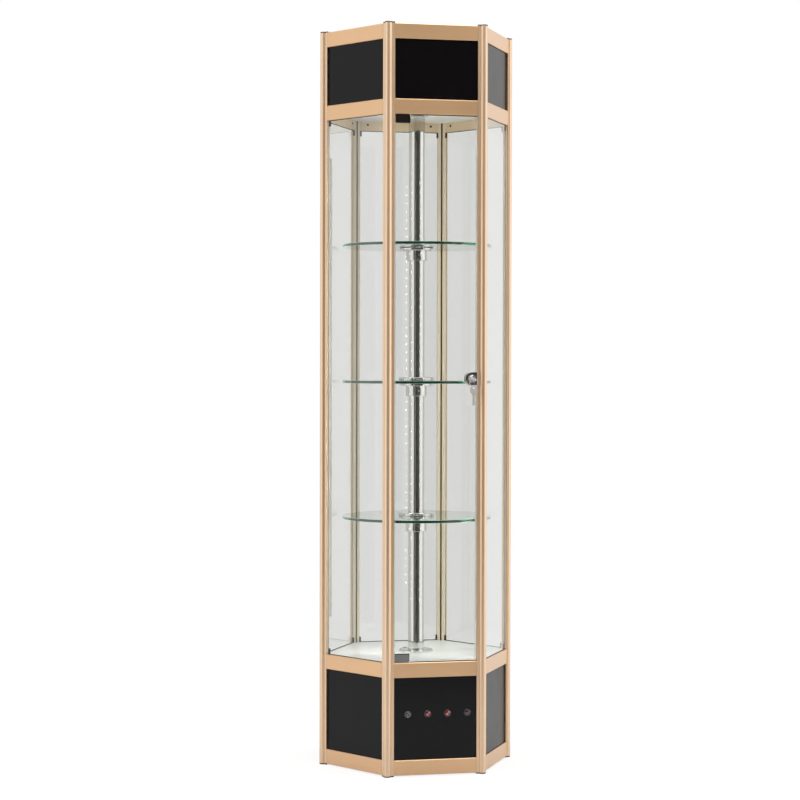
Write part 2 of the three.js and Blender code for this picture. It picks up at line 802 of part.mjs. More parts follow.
// Power inlet in the rear panel: a plate outside, a body through the panel, a well with three pins
const inletOuter = panelFront - fitGap;
const inletFloor = inletOuter - inletPlateThickness + inletWellDepth;
const inletPins = [-1, 0, 1].map((place) =>
  block(
    [place * inletPinPitch - inletPinThickness / 2, inletOuter, -inletPinWidth / 2],
    [place * inletPinPitch + inletPinThickness / 2, inletFloor + railWall, inletPinWidth / 2],
  ),
);
const inletWell = block(
  [
    inletWellWall - inletWidth / 2,
    inletOuter - inletPlateThickness - cutOverrun,
    inletWellWall - inletHeight / 2,
  ],
  [inletWidth / 2 - inletWellWall, inletFloor, inletHeight / 2 - inletWellWall],
);
const inlet = union([
  union([
    block(
      [-inletPlateWidth / 2, inletOuter - inletPlateThickness, -inletPlateHeight / 2],
      [inletPlateWidth / 2, inletOuter, inletPlateHeight / 2],
    ),
    block(
      [-inletWidth / 2, inletOuter - inletPlateThickness, -inletHeight / 2],
      [inletWidth / 2, inletOuter + inletDepth, inletHeight / 2],
    ),
  ]).subtract(inletWell),
  ...inletPins,
]);
const inletMesh = addPiece(sides.rear, "power_inlet", inlet, blackPlastic);
inletMesh.position.set(inletX, 0, inletZ);

// Light strips: a channel along the nose of the left and the front right post
const stripBack = -noseReach - fitGap;
const displayMiddle = (deckHeight + canopyRailBase) / 2;
const strip = cut(
  block(
    [stripBack - stripDepth, -stripWidth / 2, displayMiddle - stripLength / 2],
    [stripBack, stripWidth / 2, displayMiddle + stripLength / 2],
  ),
  [
    block(
      [
        stripBack - stripDepth - cutOverrun,
        stripWall - stripWidth / 2,
        displayMiddle - stripLength / 2 - cutOverrun,
      ],
      [
        stripBack - stripWall,
        stripWidth / 2 - stripWall,
        displayMiddle + stripLength / 2 + cutOverrun,
      ],
    ),
  ],
);
addPiece(corners.left, "light_strip_left", strip, stripWhite);
addPiece(corners.front_right, "light_strip_front_right", strip, stripWhite);

// Door glass, closed, with a hole for the lock's spindle
const lockAxisX = lockWingX - lockAxisInset;
const glassFront = paneMiddle - paneThickness / 2;
const glassBack = paneMiddle + paneThickness / 2;
const doorPane = block([doorLeft, glassFront, doorBottom], [doorRight, glassBack, doorTop]);
const spindleHole = barrel(
  plugDiameter / 2 + 2 * fitGap,
  glassFront - cutOverrun,
  glassBack + cutOverrun,
  smallSides,
  lockAxisX,
  lockHeight,
);
addPiece(sides.front, "door_glass", doorPane.subtract(spindleHole), clearGlass);

// A clamp grips the glass at its corner, and its pin stands in the rail. The sign is 1 for the top
// of the door and -1 for the bottom.
function clampSolid(up) {
  const railFace = up > 0 ? canopyRailBase : deckHeight;
  const outerEnd = railFace - up * clampRailGap;
  const innerEnd = outerEnd - up * clampHeight;
  const glassEdge = (up > 0 ? doorTop : doorBottom) + up * fitGap;
  const slotHalf = paneThickness / 2 + fitGap;
  const body = block(
    [doorLeft, paneMiddle - clampThickness / 2, Math.min(outerEnd, innerEnd)],
    [doorLeft + clampLength, paneMiddle + clampThickness / 2, Math.max(outerEnd, innerEnd)],
  );
  const slotEnd = innerEnd - up * cutOverrun;
  const slot = block(
    [doorLeft - cutOverrun, paneMiddle - slotHalf, Math.min(glassEdge, slotEnd)],
    [doorLeft + clampLength + cutOverrun, paneMiddle + slotHalf, Math.max(glassEdge, slotEnd)],
  );
  const pinEnd = railFace + up * pivotPinLength;
  const pin = drum(
    pivotPinDiameter,
    Math.min(outerEnd - up * fitGap, pinEnd),
    Math.max(outerEnd - up * fitGap, pinEnd),
    smallSides,
    pivotX,
    paneMiddle,
  );
  return body.subtract(slot).add(pin);
}
addPiece(sides.front, "door_clamp_top", clampSolid(1), bronze);
addPiece(sides.front, "door_clamp_bottom", clampSolid(-1), satinSteel);

// Lock case: round towards the middle of the door, gripping the edge of the glass
const lockRight = lockWingX - lockPostGap;
const lockFront = glassFront - lockFrontThickness;
const lockBack = glassBack + lockRearThickness;
const lockRound = lockRight - lockWidth + lockTall / 2;
const lockCase = cut(
  union([
    barrel(lockTall, lockFront, lockBack, roundSides, lockRound, lockHeight),
    block(
      [lockRound, lockFront, lockHeight - lockTall / 2],
      [lockRight, lockBack, lockHeight + lockTall / 2],
    ),
  ]),
  [
    block(
      [
        lockRight - lockWidth - cutOverrun,
        glassFront - fitGap,
        lockHeight - lockTall / 2 - cutOverrun,
      ],
      [doorRight + fitGap, glassBack + fitGap, lockHeight + lockTall / 2 + cutOverrun],
    ),
    block(
      [lockRight, lockFront - cutOverrun, lockHeight - lockTall / 2],
      [lockRight + lockTall, lockBack + cutOverrun, lockHeight + lockTall / 2],
    ),
    barrel(
      plugDiameter + 2 * fitGap,
      lockFront - cutOverrun,
      glassFront,
      smallSides,
      lockAxisX,
      lockHeight,
    ),
    barrel(
      plugDiameter / 2 + 2 * fitGap,
      glassFront,
      lockBack + cutOverrun,
      smallSides,
      lockAxisX,
      lockHeight,
    ),
  ],
);
addPiece(sides.front, "lock_case", lockCase, nickel);

// Lock plug with its key in it and the cam behind the door. It is built about its own axis, with
// the key's bow upright and the cam hanging, and then turned to the unlocked position.
const headFront = lockFront - fitGap - plugHeadThickness;
const bowMiddle = headFront - bowNeckLength - bowDiameter / 2;
const bowHoleY = bowMiddle - bowDiameter / 2 + bowHoleRim + bowHoleDiameter / 2;
const camFront = frameInner + camPostGap;
const camLength = lockAxisInset + camBehindPost;
const bow = cut(
  union([
    barrel(bowDiameter, -bowThickness / 2, bowThickness / 2, smallSides),
    block(
      [-bowNeckWidth / 2, -bowThickness / 2, -bowDiameter / 2 - bowNeckLength - plugHeadThickness / 2],
      [bowNeckWidth / 2, bowThickness / 2, 0],
    ),
  ]),
  [
    barrel(
      bowHoleDiameter,
      -bowThickness / 2 - cutOverrun,
      bowThickness / 2 + cutOverrun,
      smallSides,
      0,
      bowMiddle - bowHoleY,
    ),
  ],
)
  .rotate([90, 0, 0])
  .rotate([0, 90, 0]);
const plug = union([
  barrel(plugHeadDiameter, headFront, lockFront - fitGap, smallSides),
  barrel(plugDiameter, lockFront - fitGap - plugHeadThickness / 2, glassFront - fitGap, smallSides),
  barrel(plugDiameter / 2, glassFront - fitGap - plugHeadThickness, camFront + camThickness, smallSides),
  moved(bow, 0, bowMiddle, 0),
]);
const cam = union([
  block([-camWidth / 2, camFront, -camLength], [camWidth / 2, camFront + camThickness, 0]),
  barrel(camWidth, camFront, camFront + camThickness, smallSides),
]);
const lockKey = plug.rotate([0, bowTilt, 0]).add(cam);
const lockKeyMesh = addPiece(sides.front, "lock_key", lockKey, nickel);
lockKeyMesh.position.set(lockAxisX, 0, lockHeight);

// Spare key on a ring that hangs from the hole in the bow; heights are from the hole's centre
const ringGeometry = new THREE.TorusGeometry(keyRingRadius, keyRingWire / 2, tinySides / 2, smallSides);
ringGeometry.rotateX(Math.PI / 2);
ringGeometry.translate(0, 0, -keyRingRadius);
const spareTop = -2 * keyRingRadius + bowHoleRim;
const spareMiddle = spareTop - spareBowHeight / 2;
const spareOutline = new THREE.EllipseCurve(0, spareMiddle, spareBowWidth / 2, spareBowHeight / 2)
  .getPoints(smallSides)
  .slice(0, smallSides)
  .map((point) => [point.x, point.y]);
const spareKey = cut(
  union([
    prism(spareOutline, -bowThickness / 2, bowThickness / 2),
    block(
      [-spareBladeWidth / 2, spareTop - spareBowHeight - spareBladeLength, -bowThickness / 2],
      [spareBladeWidth / 2, spareMiddle, bowThickness / 2],
    ),
  ]),
  [
    drum(
      bowHoleDiameter,
      -bowThickness / 2 - cutOverrun,
      bowThickness / 2 + cutOverrun,
      smallSides,
      0,
      spareTop - bowHoleRim - bowHoleDiameter / 2 + keyRingWire / 2,
    ),
  ],
)
  .rotate([90, 0, 0])
  .rotate([0, 0, spareTurn - 90]);
const spareMesh = addPiece(sides.front, "spare_key", solidOf(ringGeometry).add(spareKey), steel);
spareMesh.position.set(lockAxisX, bowHoleY, lockHeight);

// Controls: each slides or turns in its hole and is kept by a retainer behind the panel
function controlSolid(proud, dome) {
  const front = panelFront - proud;
  const retainerFront = panelBack + fitGap;
  const face = dome > 0 ? [[0, front], [controlDiameter / 4, front + dome / 4]] : [[0, front]];
  const solid = turned(
    [
      ...face,
      [controlDiameter / 2, front + dome],
      [controlDiameter / 2, retainerFront],
      [retainerDiameter / 2, retainerFront],
      [retainerDiameter / 2, retainerFront + retainerThickness],
      [stemDiameter / 2, retainerFront + retainerThickness],
      [stemDiameter / 2, retainerFront + retainerThickness + stemLength],
      [0, retainerFront + retainerThickness + stemLength],
    ],
    smallSides,
  );
  return solid.rotate([-90, 0, 0]);
}
const switchSlot = block(
  [-controlDiameter / 2, panelFront - switchProud - cutOverrun, -switchSlotWidth / 2],
  [controlDiameter / 2, panelFront - switchProud + switchSlotDepth, switchSlotWidth / 2],
).rotate([0, switchTilt, 0]);
const controls = [
  ["key_switch", controlSolid(switchProud, 0).subtract(switchSlot), chrome],
  ["light_button_left", controlSolid(buttonProud, buttonDome), redLens],
  ["light_button_right", controlSolid(buttonProud, buttonDome), redLens],
  ["motor_button", controlSolid(buttonProud, buttonDome), plumLens],
];
controls.forEach(([name, solid, finish], index) => {
  const mesh = addPiece(sides.front, name, solid, finish);
  mesh.position.set(controlX[index], 0, controlHeight);
});

export default cabinet;
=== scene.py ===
"""Looks of the revolving glass display cabinet, made round its CAD frame.

Each operator makes one group of like pieces. Surfaces are worked out with numpy as rings of
points, and finishes are node trees written as Python sums.
"""

import math

import bmesh
import bpy
import numpy as np
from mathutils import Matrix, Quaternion, Vector


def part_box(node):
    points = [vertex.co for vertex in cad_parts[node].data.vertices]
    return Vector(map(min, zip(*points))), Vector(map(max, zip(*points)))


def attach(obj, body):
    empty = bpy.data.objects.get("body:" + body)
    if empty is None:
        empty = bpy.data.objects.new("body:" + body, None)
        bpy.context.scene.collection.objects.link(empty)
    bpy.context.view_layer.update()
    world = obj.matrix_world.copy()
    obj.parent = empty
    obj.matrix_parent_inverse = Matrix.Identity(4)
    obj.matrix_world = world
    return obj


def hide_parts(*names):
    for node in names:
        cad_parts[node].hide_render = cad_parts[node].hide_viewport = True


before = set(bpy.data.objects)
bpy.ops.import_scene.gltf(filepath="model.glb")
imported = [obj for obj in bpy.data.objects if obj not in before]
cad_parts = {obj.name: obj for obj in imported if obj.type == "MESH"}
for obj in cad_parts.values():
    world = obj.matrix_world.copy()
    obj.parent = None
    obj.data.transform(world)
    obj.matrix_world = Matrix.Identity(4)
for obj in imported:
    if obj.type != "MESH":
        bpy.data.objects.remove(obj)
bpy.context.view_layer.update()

bl_info = {
    "name": "Revolving glass display cabinet",
    "version": (1, 0, 0),
    "blender": (4, 5, 0),
    "location": "3D View > Sidebar > Cabinet",
    "description": "Makes the pieces, finishes and studio of a revolving glass display cabinet",
    "category": "Object",
}

SIDES = {
    "front": 270,
    "front_right": 330,
    "rear_right": 30,
    "rear": 90,
    "rear_left": 150,
    "front_left": 210,
}
POSTS = {
    "front_left": 240,
    "front_right": 300,
    "right": 0,
    "rear_right": 60,
    "rear_left": 120,
    "left": 180,
}
STRIPS = ("left", "front_right")
LEVELS = ("lower", "middle", "upper")
UP = np.array([0.0, 0.0, 1.0])

# From the middle of the door's glass: near and far faces of its clamps, and the lock's front.
GRIP = 0.0028
LEAF = 0.0065
LOCK_FRONT = 0.0115

# The keys: radius of a round bow, width of its hole, metal outside the hole, half the thickness,
# neck between plug and bow, and how far the hole lies from the bow's middle.
BOW = 0.0085
KEY_HOLE = 0.006
KEY_MARGIN = 0.0035
KEY_HALF = 0.0009
KEY_NECK = 0.003
HOLE_DROP = BOW - KEY_MARGIN - KEY_HOLE / 2

# What stands round the pole: bores, a washer's thickness and a circle of screws.
POLE_BORE = 0.0223
GLASS_BORE = 0.0258
WASHER = 0.0003
SCREW_CIRCLE = 0.0375

# The stem behind each control.
STEM = 0.004

# The photograph's width in pixels, the camera's sensor in millimetres, and by how many pixels
# the pole stands right of the middle and the camera looks down.
IMAGE = 800.0
SENSOR = 36.0
POLE_RIGHT = 16.4
LOOKS_DOWN = 38.5


def length(name, description, default):
    return bpy.props.FloatProperty(
        name=name, description=description, default=default, min=0.0, unit="LENGTH", precision=5
    )


def colour(name, description, default):
    return bpy.props.FloatVectorProperty(
        name=name,
        description=description,
        default=default,
        min=0.0,
        max=1.0,
        size=3,
        subtype="COLOR",
    )


class CabinetSizes(bpy.types.PropertyGroup):
    """Sizes of the frame, glass and turntable"""

    side: length("Side", "From post centre to post centre", 0.258)
    bead: length("Bead", "Diameter of a post's round corner", 0.020)
    wing: length("Wing", "From a post's centre to the tip of its wing", 0.017)
    proud: length("Proud", "Outer faces outside the line of post centres", 0.004)
    depth: length("Depth", "Depth of rails and wings", 0.0135)
    nose: length("Nose", "Width of a post's inner nose", 0.008)
    nose_reach: length("Nose reach", "From a post's centre to its nose", 0.016)
    slit: length("Slit", "Depth of the slit along a post's nose", 0.0045)
    slit_width: length("Slit width", "Width of the slit along a post's nose", 0.0032)
    cap: length("Cap", "Thickness of a post's end cap", 0.003)
    rail: length("Rail", "Height of a rail", 0.040)
    chamfer: length("Chamfer", "Bevel along a rail", 0.0015)
    slot: length("Slot", "Width of the slot that holds a pane", 0.0058)
    slot_front: length("Slot front", "Front wall of the slot, inside the post line", 0.0001)
    slot_depth: length("Slot depth", "Depth of the slot", 0.009)
    seam: length("Seam", "Gap between neighbouring pieces", 0.0003)
    led_pitch: length("Diode pitch", "From diode to diode", 0.025)
    arris: length("Arris", "Ground bevel along a glass edge", 0.0008)


class CabinetColours(bpy.types.PropertyGroup):
    """Colours of the finishes"""

    champagne: colour("Champagne", "Anodised aluminium of the rails", (0.78, 0.49, 0.262))
    # The posts' paler tone is a lit copy of the rails' champagne: painted highlight for the light
    # their round beads catch.
    lit_uprights: colour("Uprights", "Paler anodised aluminium of the posts", (0.81, 0.575, 0.375))
    panel: colour("Panel", "Black laminate", (0.0036, 0.0028, 0.0031))
    glass: colour("Glass", "Tint of the panes", (0.86, 0.865, 0.853))
    edge: colour("Glass edge", "Cut edge of the glass", (0.006, 0.040, 0.019))
    board: colour("Board", "White laminate", (0.93, 0.93, 0.935))
    chrome: colour("Chrome", "Plated pole and hubs", (0.80, 0.80, 0.79))
    nickel: colour("Nickel", "Lock and keys", (0.58, 0.57, 0.54))
    red: colour("Red lens", "Lit push buttons", (0.24, 0.006, 0.018))
    plum: colour("Plum lens", "Unlit push button", (0.045, 0.014, 0.026))


class StudioSettings(bpy.types.PropertyGroup):
    """Camera and floor"""

    azimuth: bpy.props.FloatProperty(
        name="Azimuth",
        description="Angle of the camera to the left of the door",
        default=math.radians(13.2),
        subtype="ANGLE",
    )
    distance: length("Distance", "From the camera to the pole", 5.95)
    height: length("Height", "Camera above the floor", 1.092)
    lens: bpy.props.FloatProperty(
        name="Lens", description="Focal length in millimetres", default=98.0, subtype="NONE"
    )
    roll: bpy.props.FloatProperty(
        name="Roll",
        description="Tilt of the camera about its line of sight",
        default=math.radians(0.11),
        subtype="ANGLE",
    )
    floor: colour("Floor", "Plain pale floor", (0.74, 0.74, 0.74))


def sizes():
    return bpy.context.scene.cabinet_sizes


def colours():
    return bpy.context.scene.cabinet_colours


def feed(tree, socket, value):
    """A link, colour or number into a socket."""
    if isinstance(value, Flow):
        tree.links.new(value.socket, socket)
    elif hasattr(value, "__len__") and len(value) == 3 and len(socket.default_value) == 4:
        socket.default_value = (*value, 1.0)
    else:
        socket.default_value = value


class Flow:
    """A socket of a finish, on which Python sums add Math nodes."""

    def __init__(self, tree, socket):
        self.tree = tree
        self.socket = socket

    def work(self, operation, first, second):
        node = self.tree.nodes.new("ShaderNodeMath")
        node.operation = operation
        feed(self.tree, node.inputs[0], first)
        feed(self.tree, node.inputs[1], second)
        return Flow(self.tree, node.outputs[0])

    def __add__(self, other):
        return self.work("ADD", self, other)

    def __radd__(self, other):
        return self.work("ADD", other, self)

    def __sub__(self, other):
        return self.work("SUBTRACT", self, other)

    def __rsub__(self, other):
        return self.work("SUBTRACT", other, self)

    def __mul__(self, other):
        return self.work("MULTIPLY", self, other)

    def __rmul__(self, other):
        return self.work("MULTIPLY", other, self)

    def __truediv__(self, other):
        return self.work("DIVIDE", self, other)

    def __rtruediv__(self, other):
        return self.work("DIVIDE", other, self)


class Nodes:
    """The nodes of a material or of the sky."""

    def __init__(self, tree, output):
        self.tree = tree
        self.output = tree.nodes[output]

    def node(self, kind, settings=None, values=None, output=0):
        """A node of any type: settings are set first, then the values or links of its sockets."""
        node = self.tree.nodes.new("ShaderNode" + kind)
        for key, value in (settings or {}).items():
            setattr(node, key, value)
        for key, value in (values or {}).items():
            feed(self.tree, node.inputs[key], value)
        return Flow(self.tree, node.outputs[output])

    def vector(self, operation, *parts):
        """Vector Math with a vector as its result."""
        return self.node("VectorMath", {"operation": operation}, dict(enumerate(parts)))

    def measure(self, operation, *parts):
        """Vector Math with a number as its result."""
        return self.node("VectorMath", {"operation": operation}, dict(enumerate(parts)), 1)

    def place(self, stretch=(1.0, 1.0, 1.0)):
        """Object coordinates in metres, stretched for grain."""
        source = self.node("TexCoord", output="Object")
        return self.node("Mapping", None, {"Vector": source, "Scale": stretch})

    def noise(self, scale, detail=3.0, stretch=(1.0, 1.0, 1.0), rough=0.5):
        values = {
            "Vector": self.place(stretch),
            "Scale": scale,
            "Detail": detail,
            "Roughness": rough,
        }
        return self.node("TexNoise", None, values)

    def blend(self, amount, first, second):
        """A mix of two colours by an amount from 0 to 1."""
        return self.node("Mix", {"data_type": "RGBA"}, {0: amount, 6: first, 7: second}, 2)

    def shades(self, base, pattern, dark, light):
        """A colour that a pattern takes from a darker to a lighter tone of itself."""
        return self.blend(pattern, tone(base, dark), tone(base, light))

    def clamp(self, value, low, high, start=0.0, end=1.0, way="LINEAR"):
        """From start at low to end at high, and level beyond them."""
        values = {
            "Value": value,
            "From Min": low,
            "From Max": high,
            "To Min": start,
            "To Max": end,
        }
        return self.node("MapRange", {"interpolation_type": way}, values)

    def straight(self):
        """1 for rays seen directly or through glass alone, 0 once a surface has mirrored them."""
        camera = self.node("LightPath", output="Is Camera Ray")
        through = self.node("LightPath", output="Is Transmission Ray")
        mirrored = self.node("LightPath", output="Glossy Depth")
        plain = mirrored.work("LESS_THAN", mirrored, 0.5)
        return camera.work("MAXIMUM", camera, through * plain)

    def show(self, share, first, second):
        """Two shaders mixed by a share, as what the surface or the sky shows."""
        join = self.node("MixShader", None, {0: share, 1: first, 2: second})
        feed(self.tree, self.output.inputs["Surface"], join)


class Finish(Nodes):
    """One material: a Principled shader with constants of its own and patterns that feed it."""

    def __init__(self, name, **constants):
        self.material = bpy.data.materials.new(name)
        self.material.use_nodes = True
        super().__init__(self.material.node_tree, "Material Output")
        self.shader = self.tree.nodes["Principled BSDF"]
        self.skin = Flow(self.tree, self.shader.outputs[0])
        for key, value in constants.items():
            self.drive(key.replace("_", " ").title().replace("Ior", "IOR"), value)

    def drive(self, socket, value):
        feed(self.tree, self.shader.inputs[socket], value)

    def bump(self, height, distance, strength):
        values = {"Height": height, "Distance": distance, "Strength": strength}
        self.drive("Normal", self.node("Bump", None, values))


def tone(base, factor):
    """A colour made lighter or darker by a factor."""
    return tuple(min(1.0, part * factor) for part in base)


def painted_inner_glow(finish, reach):
    """1 on what faces the pole or lies nearer to its axis than the reach, and 0 elsewhere: where
    painted light stands in for the bright, lit inside of the cabinet.

    A face looks at the pole where its normal lies against its own direction from the pole.
    """
    flat = finish.vector("MULTIPLY", finish.place(), (1.0, 1.0, 0.0))
    away = finish.vector("NORMALIZE", flat)
    facing = finish.node("TexCoord", output="Normal")
    along = finish.measure("DOT_PRODUCT", away, facing)
    radius = finish.measure("LENGTH", flat)
    turned = finish.clamp(along, -0.80, -0.62, 1.0, 0.0)
    near = finish.clamp(radius, reach - 0.0006, reach, 1.0, 0.0)
    return 1.0 - (1.0 - turned) * (1.0 - near)


def brushed_metal(name, base, rough, grain, oxide=0.0, metal=1.0, inner=None, reach=0.0):
    """Metal with fine lines along its grain, and where anodised a clear layer of oxide.

    An inner colour gives the faces that look at the pole a paler, more matt skin: painted light
    for the bright, lit inside of the cabinet.
    """
    finish = Finish(name, metallic=metal, coat_weight=oxide, coat_roughness=0.28, coat_ior=1.6)
    lines = finish.noise(1.0, 4.0, grain, 0.6)
    cloud = finish.noise(6.0, 3.0)
    shade = cloud * 0.7 + lines * 0.3
    paint = finish.shades(base, shade, 0.94, 1.06)
    if inner is not None:
        # Painted light: faces towards the pole turn paler and less metallic, as if lit by the
        # bright inside.
        inward = painted_inner_glow(finish, reach)
        painted_glow_skin = finish.shades(inner, shade, 0.95, 1.05)
        paint = finish.blend(inward, paint, painted_glow_skin)
        finish.drive("Metallic", 1.0 - inward * 0.80)
    finish.drive("Base Color", paint)
    finish.drive("Roughness", rough + (lines - 0.5) * 0.10 + (cloud - 0.5) * 0.06)
    finish.bump(lines, 0.000012, 0.35)
    return finish


def polished_metal(name, base, rough, scale=60.0):
    """Plated metal: nearly smooth, with faint polishing swirls and finger marks."""
    finish = Finish(name, metallic=1.0)
    cloud = finish.noise(9.0, 4.0)
    fine = finish.noise(scale, 5.0, (1.0, 1.0, 0.35))
    finish.drive("Base Color", finish.shades(base, cloud, 0.95, 1.04))
    finish.drive("Roughness", rough + finish.clamp(cloud, 0.45, 0.75) * 0.05 + fine * 0.03)
    finish.bump(fine, 0.000006, 0.25)
    return finish


def moulded_plastic(name, base, rough, grain=1400.0, gloss=0.5):
    """Plastic or paint with a fine pebbled skin and slight cloudiness."""
    finish = Finish(name, specular_ior_level=gloss)
    cloud = finish.noise(14.0, 4.0)
    pebble = finish.noise(grain, 2.0)
    finish.drive("Base Color", finish.shades(base, cloud, 0.86, 1.16))
    finish.drive("Roughness", rough + (cloud - 0.5) * 0.14 + (pebble - 0.5) * 0.08)
    finish.bump(pebble, 0.00004, 0.5)
    return finish


def laminate(name, base, rough, grain=700.0, gloss=0.5):
    """Laminated board: a faint orange peel, with smudges that change its gloss."""
    finish = Finish(name, specular_ior_level=gloss)
    cloud = finish.noise(5.0, 5.0)
    peel = finish.noise(grain, 2.0)
    smudge = finish.clamp(finish.noise(16.0, 6.0, (1.0, 1.0, 0.5), 0.65), 0.5, 0.75)
    finish.drive("Base Color", finish.shades(base, cloud, 0.88, 1.12))
    finish.drive("Roughness", rough + smudge * 0.09 + (peel - 0.5) * 0.05)
    finish.bump(peel, 0.00002, 0.35)
    return finish


def clear_glass(name, tint, passed):
    """Glass that bends and mirrors light, and that lets lamps reach what is behind it."""
    finish = Finish(name, transmission_weight=1.0, ior=1.5)
    smear = finish.noise(6.0, 5.0, (1.0, 1.0, 0.4), 0.6)
    finish.drive("Base Color", finish.shades(tint, smear, 0.985, 1.01))
    finish.drive("Roughness", finish.clamp(smear, 0.52, 0.85) * 0.03)
    shadow = finish.node("LightPath", output="Is Shadow Ray")
    clear = finish.node("BsdfTransparent", None, {"Color": passed})
    finish.show(shadow, finish.skin, clear)
    return finish


def glass_edge(name, base, lighter):
    """Cut glass seen end on: deep green, with paler streaks where light comes up through it."""
    finish = Finish(name, coat_weight=0.6, coat_roughness=0.04, ior=1.5)
    streak = finish.noise(24.0, 3.0, (1.0, 1.0, 0.2))
    fine = finish.noise(900.0, 2.0)
    finish.drive("Base Color", finish.blend(finish.clamp(streak, 0.35, 0.7), base, lighter))
    finish.drive("Roughness", 0.10 + fine * 0.12)
    finish.bump(fine, 0.00001, 0.3)
    return finish


def lens(name, base, glow, painted_glint):
    """A domed cap lit from within: its glow is placed low on the cap, a painted highlight glows
    high on the right, and its colour is painted darker away from the glow.

    The piece's attribute gives each point's place across the cap, in cap radii.
    """
    finish = Finish(name, coat_weight=1.0, coat_roughness=0.05, ior=1.5, emission_strength=1.0)
    where = finish.node("Attribute", {"attribute_name": "across"}, output="Vector")
    low = finish.measure("DISTANCE", where, (-0.2, -0.2, 0.0))
    high = finish.measure("DISTANCE", where, (0.5, 0.52, 0.0))
    speck = finish.noise(1500.0, 2.0)
    # core places the glow low on the cap and paints the colour darker towards the rim (painted
    # shade)
    core = finish.clamp(low, 0.05, 0.75, 1.0, 0.0)
    # painted highlight high on the right, carried by the emission
    painted_glint_spot = finish.clamp(high, 0.08, 0.42, 1.0, 0.0)
    finish.drive("Base Color", finish.shades(base, core, 0.30, 1.15))
    finish.drive("Roughness", 0.14 + speck * 0.08)
    lit = finish.shades(glow, core * core, 0.03, 1.0)
    finish.drive("Emission Color", finish.blend(painted_glint_spot, lit, painted_glint))
    return finish


def diode_light(name, glow, strength):
    """The phosphor of a diode, slightly cloudy."""
    finish = Finish(name, roughness=0.3, emission_strength=strength)
    cloud = finish.noise(400.0, 2.0)
    finish.drive("Base Color", finish.blend(cloud, (0.9, 0.8, 0.45), (0.95, 0.9, 0.6)))
    finish.drive("Emission Color", finish.shades(glow, cloud, 0.9, 1.0))
    return finish


def tape_board(name):
    """The diodes' flexible board: white mask, with copper pads at each pitch along its height."""
    finish = Finish(name)
    height = finish.node("SeparateXYZ", None, {"Vector": finish.place()}, "Z")
    beat = finish.node("Math", {"operation": "FRACT"}, {0: height / sizes().led_pitch})
    pad = finish.clamp(beat, 0.80, 0.82) * finish.clamp(beat, 0.90, 0.92, 1.0, 0.0)
    fine = finish.noise(900.0, 2.0)
    white = finish.blend(fine, (0.72, 0.72, 0.68), (0.82, 0.82, 0.78))
    finish.drive("Base Color", finish.blend(pad, white, (0.62, 0.30, 0.13)))
    finish.drive("Metallic", pad)
    finish.drive("Roughness", 0.5 - pad * 0.2 + fine * 0.1)
    return finish


